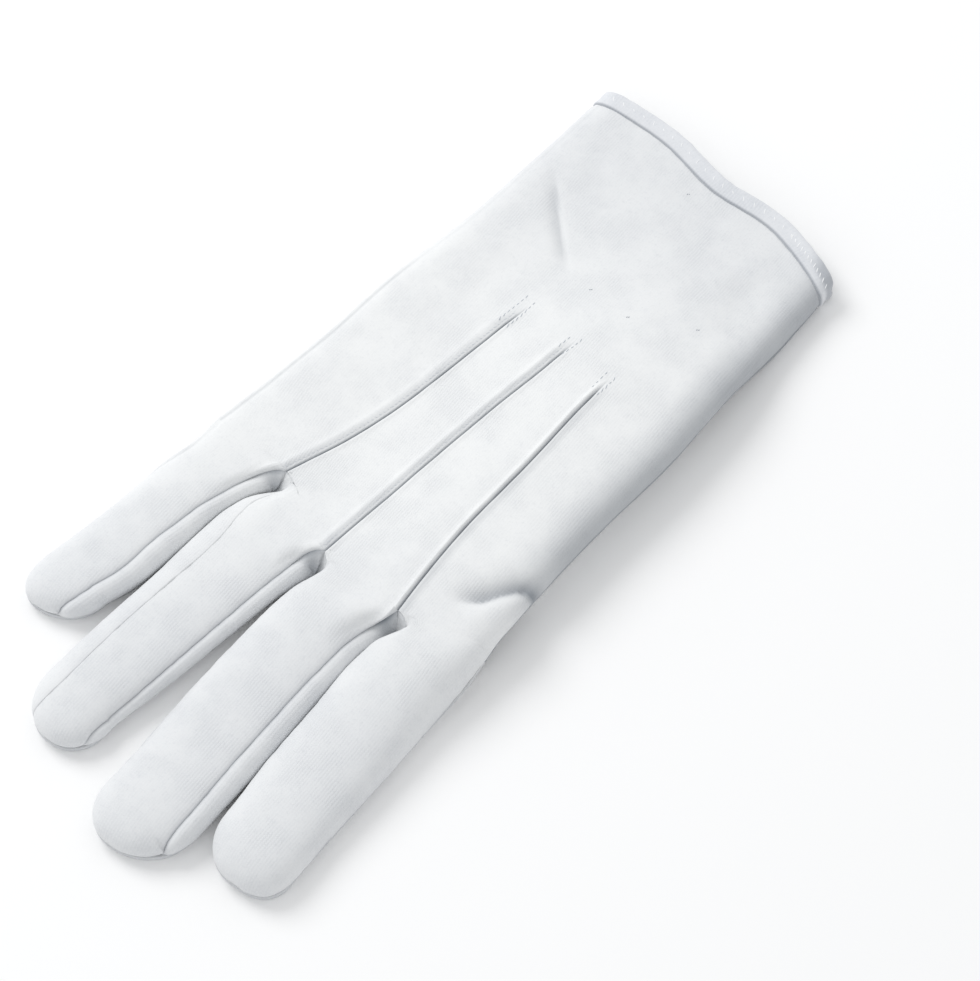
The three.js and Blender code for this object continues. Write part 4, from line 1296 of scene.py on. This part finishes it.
end = thumb_cloth.row([THUMB_END], [(0, -24)])
thumb_cloth.join(previous, np.full(len(previous), end[0]))
thumb_piece = thumb_cloth.piece("thumb_tube", COTTON, lip=0.2, soften=0.0)

# %% [markdown]
# ## The hem
#
# The cuff's edge is turned in and overstitched, which makes a band as wide as a little finger is
# thick. It is swept round the cuff's outline: at each place of the outline a small closed profile
# stands across it. A curve with a bevel would do for a straight hem, but here the profile has to
# lie flat on the floor below and follow the back above.

# %% Sweep the hem
HEM_OUT = 0.95
HEM_CORNER = 4.0
HEM_CORNER_ANGLES = np.radians([30, 60, 90])


def hem_outline(t):
    """The mouth's outline: over the back from pinky to index side, and back along the palm."""
    lines = through_rows(HAND_LINES, t)
    over = back_hand_row(t)[1:-1]

    def corner(side):
        points = []
        for angle in HEM_CORNER_ANGLES:
            x, y = through_rows(lines, place_inside(lines, side, HEM_CORNER * (1 - math.cos(angle))))
            points.append((x, y, mix(SIDE_Z, HEM_OUT, math.sin(angle))))
        return np.array(points)

    flat = palm_hand_row(t)[3:-3][::2][::-1]
    along = np.column_stack([flat, np.full(len(flat), HEM_OUT)])
    return np.concatenate([over, corner("index"), along, corner("pinky")[::-1]])


def closed_line(points, count):
    """Evenly spaced points on a smooth closed curve."""
    looped = np.concatenate([points[-3:], points, points[:4]])
    stations = np.linspace(3, 3 + len(points), 12 * len(points) + 1)
    dense = smooth_line(looped, stations)
    lengths = lengths_along(dense)
    at = np.linspace(0, lengths[-1], count + 1)[:-1]
    return np.column_stack([np.interp(at, lengths, dense[:, k]) for k in range(3)]), at


HEM_AROUND = 420
HEM_INSIDE = 0.06
PROFILE_POINTS = 44
GRIP_LENGTH, GRIP_AT, GRIP_HALF, GRIP_DEPTH = 3.2, 2.9, 1.3, 0.14
HEM_SEAM_SHADE, HEM_END_SHADE = 0.6, 0.5
FLOOR_GAP = 0.02
seam_line, seam_length = closed_line(hem_outline(0), HEM_AROUND)
inside_line, _ = closed_line(hem_outline(HEM_INSIDE), HEM_AROUND)
hem_profile = np.array(
    [
        (-0.25, 0.1), (0.05, 0.72), (0.5, 0.98), (1.3, 0.92), (2.3, 0.86), (3.2, 0.9), (4.2, 1.0),
        (5.0, 0.85), (5.5, 0.35), (5.7, -0.3), (5.45, -0.95), (4.8, -1.25), (3.6, -1.25),
        (2.2, -1.2), (0.9, -1.2), (0.1, -1.0), (-0.2, -0.5),
    ]
)
profile, _ = closed_line(np.column_stack([hem_profile, np.zeros(len(hem_profile))]), PROFILE_POINTS)
points, uv = [], []
for i in range(HEM_AROUND):
    around = seam_line[(i + 1) % HEM_AROUND] - seam_line[i - 1]
    around /= np.linalg.norm(around)
    forward = seam_line[i] - inside_line[i]
    forward -= around * forward.dot(around)
    forward[2] *= 0.3
    forward /= np.linalg.norm(forward)
    out = -np.cross(around, forward)
    out /= np.linalg.norm(out)
    # The overstitching pulls the band in a little every few millimetres.
    pull = noise.noise(Vector((seam_length[i] / GRIP_LENGTH, 0.3, 7.0)))
    for along, away in profile[:, :2]:
        grip = GRIP_DEPTH * (0.5 + pull) * math.exp(-(((along - GRIP_AT) / GRIP_HALF) ** 2))
        ahead, aside = along * (1 + 0.03 * pull), away * (1 + 0.1 * pull) - grip
        place = seam_line[i] + forward * ahead - out * aside
        place[2] = max(place[2], FLOOR_GAP)
        points.append(place)
        uv.append((seam_length[i], along + (6 if away < 0 else 0)))
sides = len(profile)
ring = np.arange(sides)
faces = []
for i in range(HEM_AROUND):
    here, there = i * sides + ring, ((i + 1) % HEM_AROUND) * sides + ring
    faces.append(np.column_stack([here, np.roll(here, -1), np.roll(there, -1), there]))
hem_points = np.array(points)
hem_along = np.tile(profile[:, 0], HEM_AROUND)
# Painted shade in the groove of the hem's seam.
hem_crease = HEM_SEAM_SHADE * bell(hem_along, SEAM_HALF)
# The band turns down at its thumb end, and painted shade darkens it there.
turned = smoothstep(hem_points[:, 0], 45, 52) * smoothstep(hem_along, 1.4, 3.2)
hem_crease += HEM_END_SHADE * turned
hem = make_piece("hem_band", hem_points, np.concatenate(faces), np.array(uv), hem_crease, HEM_COTTON)

# %% [markdown]
# ## Stitches
#
# Sewing shows in three places. Each point's two rows of machine stitches run on a little past its
# end. Along the points the thread nips the cloth in small slanted dents, and the hem is held by
# slanted overstitching, closest at its thumb end. A few bits of lint lie on the back.
#
# All are short threads that follow a line on the cloth, so one Geometry Nodes tree makes them. It
# spaces points along the line, drops each onto the cloth, and puts a thread there, turned along the
# line and flat on the cloth. A bump map could only paint them, and copying them one by one in a loop
# would leave nothing to adjust afterwards.

# %% The tree for threads on cloth
STITCH_INPUTS = {
    "Path": "Geometry", "Cloth": "Object", "Pitch": "Float", "Length": "Float", "Thickness": "Float",
    "Lift": "Float", "Slant": "Float", "Unevenness": "Float", "Seed": "Int", "Thread": "Material",
}
ABOVE_ALL = 0.03
THREAD_SHAPE = {"Segments": 8, "Rings": 6, "Radius": 0.5}
MATH, VECTORS = "ShaderNodeMath", "ShaderNodeVectorMath"

stitches = bpy.data.node_groups.new("stitches on cloth", "GeometryNodeTree")
stitch_sockets = {
    name: stitches.interface.new_socket(name, in_out="INPUT", socket_type="NodeSocket" + kind).identifier
    for name, kind in STITCH_INPUTS.items()
}
stitches.interface.new_socket("Stitches", in_out="OUTPUT", socket_type="NodeSocketGeometry")


def fill_stitch_tree(tree):
    """Line, spaced points, points dropped onto the cloth, a thread on each, one mesh."""
    given = add_node(tree, "NodeGroupInput")
    line = add_node(tree, "GeometryNodeMeshToCurve", {"Mesh": given["Path"]})["Curve"]
    spacing = {"Curve": line, "Length": given["Pitch"]}
    spaced = add_node(tree, "GeometryNodeResampleCurve", spacing, mode="LENGTH")["Curve"]

    source = {"Object": given["Cloth"]}
    cloth = add_node(tree, "GeometryNodeObjectInfo", source, transform_space="RELATIVE")["Geometry"]
    position = add_node(tree, "GeometryNodeInputPosition")[0]
    above = add_node(tree, VECTORS, {0: position, 1: (0, 0, ABOVE_ALL)}, operation="ADD")[0]
    falling = {"Target Geometry": cloth, "Source Position": above}
    falling.update({"Ray Direction": (0, 0, -1), "Ray Length": 2 * ABOVE_ALL})
    fall = add_node(tree, "GeometryNodeRaycast", falling)
    lifting = {"Vector": fall["Hit Normal"], "Scale": given["Lift"]}
    lift = add_node(tree, VECTORS, lifting, operation="SCALE")[0]
    landed = add_node(tree, VECTORS, {0: fall["Hit Position"], 1: lift}, operation="ADD")[0]
    landing = {"Geometry": spaced, "Selection": fall["Is Hit"], "Position": landed}
    on_cloth = add_node(tree, "GeometryNodeSetPosition", landing)[0]

    # Each thread lies along the line, turned by the slant and by a little chance.
    tangent = add_node(tree, "GeometryNodeInputTangent")[0]
    axes = {"Primary Axis": fall["Hit Normal"], "Secondary Axis": tangent}
    flat = {"primary_axis": "Z", "secondary_axis": "X"}
    lying = add_node(tree, "FunctionNodeAxesToRotation", axes, **flat)[0]
    limits = {"Min": -1.0, "Max": 1.0, "Seed": given["Seed"]}
    chance = add_node(tree, "FunctionNodeRandomValue", limits, data_type="FLOAT")["Value"]
    uneven = add_node(tree, MATH, {0: chance, 1: given["Unevenness"]}, operation="MULTIPLY")[0]
    turned = add_node(tree, MATH, {0: given["Slant"], 1: uneven}, operation="ADD")[0]
    turn = add_node(tree, "ShaderNodeCombineXYZ", {"Z": turned})[0]
    turning = {"Rotation": lying, "Rotate By": turn}
    rotation = add_node(tree, "FunctionNodeRotateRotation", turning, rotation_space="LOCAL")[0]

    lengths = {0: uneven, 1: given["Length"], 2: given["Length"]}
    longer = add_node(tree, MATH, lengths, operation="MULTIPLY_ADD")[0]
    thickness = given["Thickness"]
    size = add_node(tree, "ShaderNodeCombineXYZ", {"X": longer, "Y": thickness, "Z": thickness})[0]
    thread = add_node(tree, "GeometryNodeMeshUVSphere", THREAD_SHAPE)["Mesh"]
    placing = {"Points": on_cloth, "Selection": fall["Is Hit"], "Instance": thread}
    placing.update({"Rotation": rotation, "Scale": size})
    threads = add_node(tree, "GeometryNodeInstanceOnPoints", placing)[0]
    real = add_node(tree, "GeometryNodeRealizeInstances", {"Geometry": threads})[0]
    smooth = add_node(tree, "GeometryNodeSetShadeSmooth", {"Geometry": real})[0]
    covering = {"Geometry": smooth, "Material": given["Thread"]}
    sewn = add_node(tree, "GeometryNodeSetMaterial", covering)[0]
    add_node(tree, "NodeGroupOutput", {"Stitches": sewn})


fill_stitch_tree(stitches)
print("stitch tree:", len(stitches.nodes), "nodes")

# %% [markdown]
# ## Thread
#
# The threads are spun cotton and polyester, smoother than the cloth. A thread that is pulled into
# the cloth lies in the shade of its own hole, and that shade is painted into its colour.

# %% Make the thread
THREAD_FINISH = {"Roughness": 0.75, "Specular IOR Level": 0.3, "Sheen Weight": 0.1}
THREAD_COLOURS = {
    "white sewing thread": "#F1F2F3",
    # The next two are the white thread with the painted shade of its hole.
    "white sewing thread, pulled in": "#BBC0C7",
    "white sewing thread, nearly covered": "#C6CAD0",
    "grey lint": "#979DA5",
}
WHITE_THREAD, SUNK_THREAD, NIPPED_THREAD, LINT = (
    new_material(name, {"Base Color": linear(colour), **THREAD_FINISH})[0]
    for name, colour in THREAD_COLOURS.items()
)

# %% Sew the rows
POINT_ENDS = [
    [(-2.5, 43.8), (-1.7, 47.9), (-1.3, 53.3)],
    [(-5.6, 44.5), (-5.0, 48.8), (-4.2, 54.1)],
    [(14.7, 44.4), (15.5, 47.3), (16.0, 50.4)],
    [(12.5, 46.1), (13.0, 49.3)],
    [(29.6, 39.4), (30.0, 42.3), (30.2, 45.5)],
    [(27.2, 40.5), (27.3, 43.3), (27.5, 45.7)],
]
LINT_AT = [(7.8, 65.3), (37.5, 71.5), (21.1, 63.4), (9.4, 106.5)]
NIP_BESIDE = 1.15
HEM_ROW = 3.0
THUMB_END_X = 39


def point_line(line, end_y):
    """The line of the nips beside a point."""
    stations = np.linspace(KNUCKLES - 0.1, 2, 60)
    places = [through_rows(HAND_LINES[:, line], t) - (NIP_BESIDE, 0) for t in stations]
    return [tuple(place) for place in places if place[1] < end_y - 5]


def hem_row(from_x, to_x):
    """The overstitching's line on the hem's upper side."""
    forward = seam_line - inside_line
    forward /= np.linalg.norm(forward, axis=1)[:, None]
    row = (seam_line + forward * HEM_ROW)[seam_line[:, 2] > 5]
    row = row[(row[:, 0] > from_x) & (row[:, 0] < to_x)]
    return [tuple(place[:2]) for place in row[np.argsort(row[:, 0])]]


def sew(name, lines, cloth, thread, seed, sizes, turns):
    """Threads along lines of table points, in millimetres, as one finished object."""
    points, edges = [], []
    for line in lines:
        edges += [(len(points) + i, len(points) + i + 1) for i in range(len(line) - 1)]
        points += [((x - MIDDLE[0]) * MM, (y - MIDDLE[1]) * MM, 0.0) for x, y in line]
    mesh = bpy.data.meshes.new(name)
    mesh.from_pydata(points, edges, [])
    sewn = bpy.data.objects.new(name, mesh)
    bpy.context.scene.collection.objects.link(sewn)
    modifier = sewn.modifiers.new("stitches", "NODES")
    modifier.node_group = stitches
    values = {"Cloth": cloth, "Thread": thread, "Seed": seed}
    values.update(zip(("Pitch", "Length", "Thickness", "Lift"), [size * MM for size in sizes]))
    values.update(zip(("Slant", "Unevenness"), turns))
    for socket, value in values.items():
        modifier[stitch_sockets[socket]] = value
    made = bpy.data.meshes.new_from_object(sewn.evaluated_get(bpy.context.evaluated_depsgraph_get()))
    sewn.modifiers.clear()
    sewn.data = made
    print(name, len(made.polygons), "faces")
    return sewn


nips = [point_line(line, RIB_END_Y[line - 1]) for line in (1, 2)]
hem_side, hem_end = [hem_row(-25, THUMB_END_X)], [hem_row(THUMB_END_X, 56)]
specks = [[(x, y), (x + 0.4, y + 0.3)] for x, y in LINT_AT]
# Name, lines, cloth, thread and seed; pitch, length, thickness and lift; slant and unevenness.
SEWING = [
    ("point_stitches", POINT_ENDS, back_panel, SUNK_THREAD, 3, (1.4, 1.2, 0.24, 0.0), (0.15, 0.3)),
    ("point_nips", nips, back_panel, NIPPED_THREAD, 5, (1.25, 0.95, 0.18, -0.04), (-0.7, 0.55)),
    ("hem_overstitching", hem_side, hem, WHITE_THREAD, 7, (3.3, 1.5, 0.3, 0.03), (0.9, 0.35)),
    ("hem_end_overstitching", hem_end, hem, WHITE_THREAD, 9, (1.5, 1.9, 0.34, 0.05), (0.9, 0.25)),
    ("lint", specks, back_panel, LINT, 11, (5, 0.42, 0.24, 0.02), (0.9, 0.4)),
]
point_rows, point_nips, hem_rows, hem_end_rows, lint = (sew(*row) for row in SEWING)

# %% [markdown]
# ## Every piece rides on the glove's one body
#
# The imported glove is one rigid body, named root. Each finished cloth stands for its own CAD solid,
# which is hidden. Each finished cloth stands for its own CAD solid, which stays in the physics
# model.

# %% Ride and replace
CLOTHS = [
    (back_panel, "back_panel", "cotton"),
    (palm_panel, "palm_panel", "cotton"),
    *[(made, "fourchette_" + name, "cotton") for made, name in zip(strips, STRIP_NAMES)],
    (thumb_piece, "thumb", "cotton"),
    (hem, "cuff_hem", "cotton_hem"),
]
for cloth_object, cad_node, slot in CLOTHS:
    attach(cloth_object, "root")
    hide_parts(cad_node)
THREADS = [
    (point_rows, "cotton"),
    (point_nips, "cotton"),
    (hem_rows, "cotton_hem"),
    (hem_end_rows, "cotton_hem"),
    (lint, "cotton"),
]
for threads, slot in THREADS:
    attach(threads, "root")
print(len(CLOTHS), "cloth pieces and", len(THREADS), "pieces of thread ride on root")
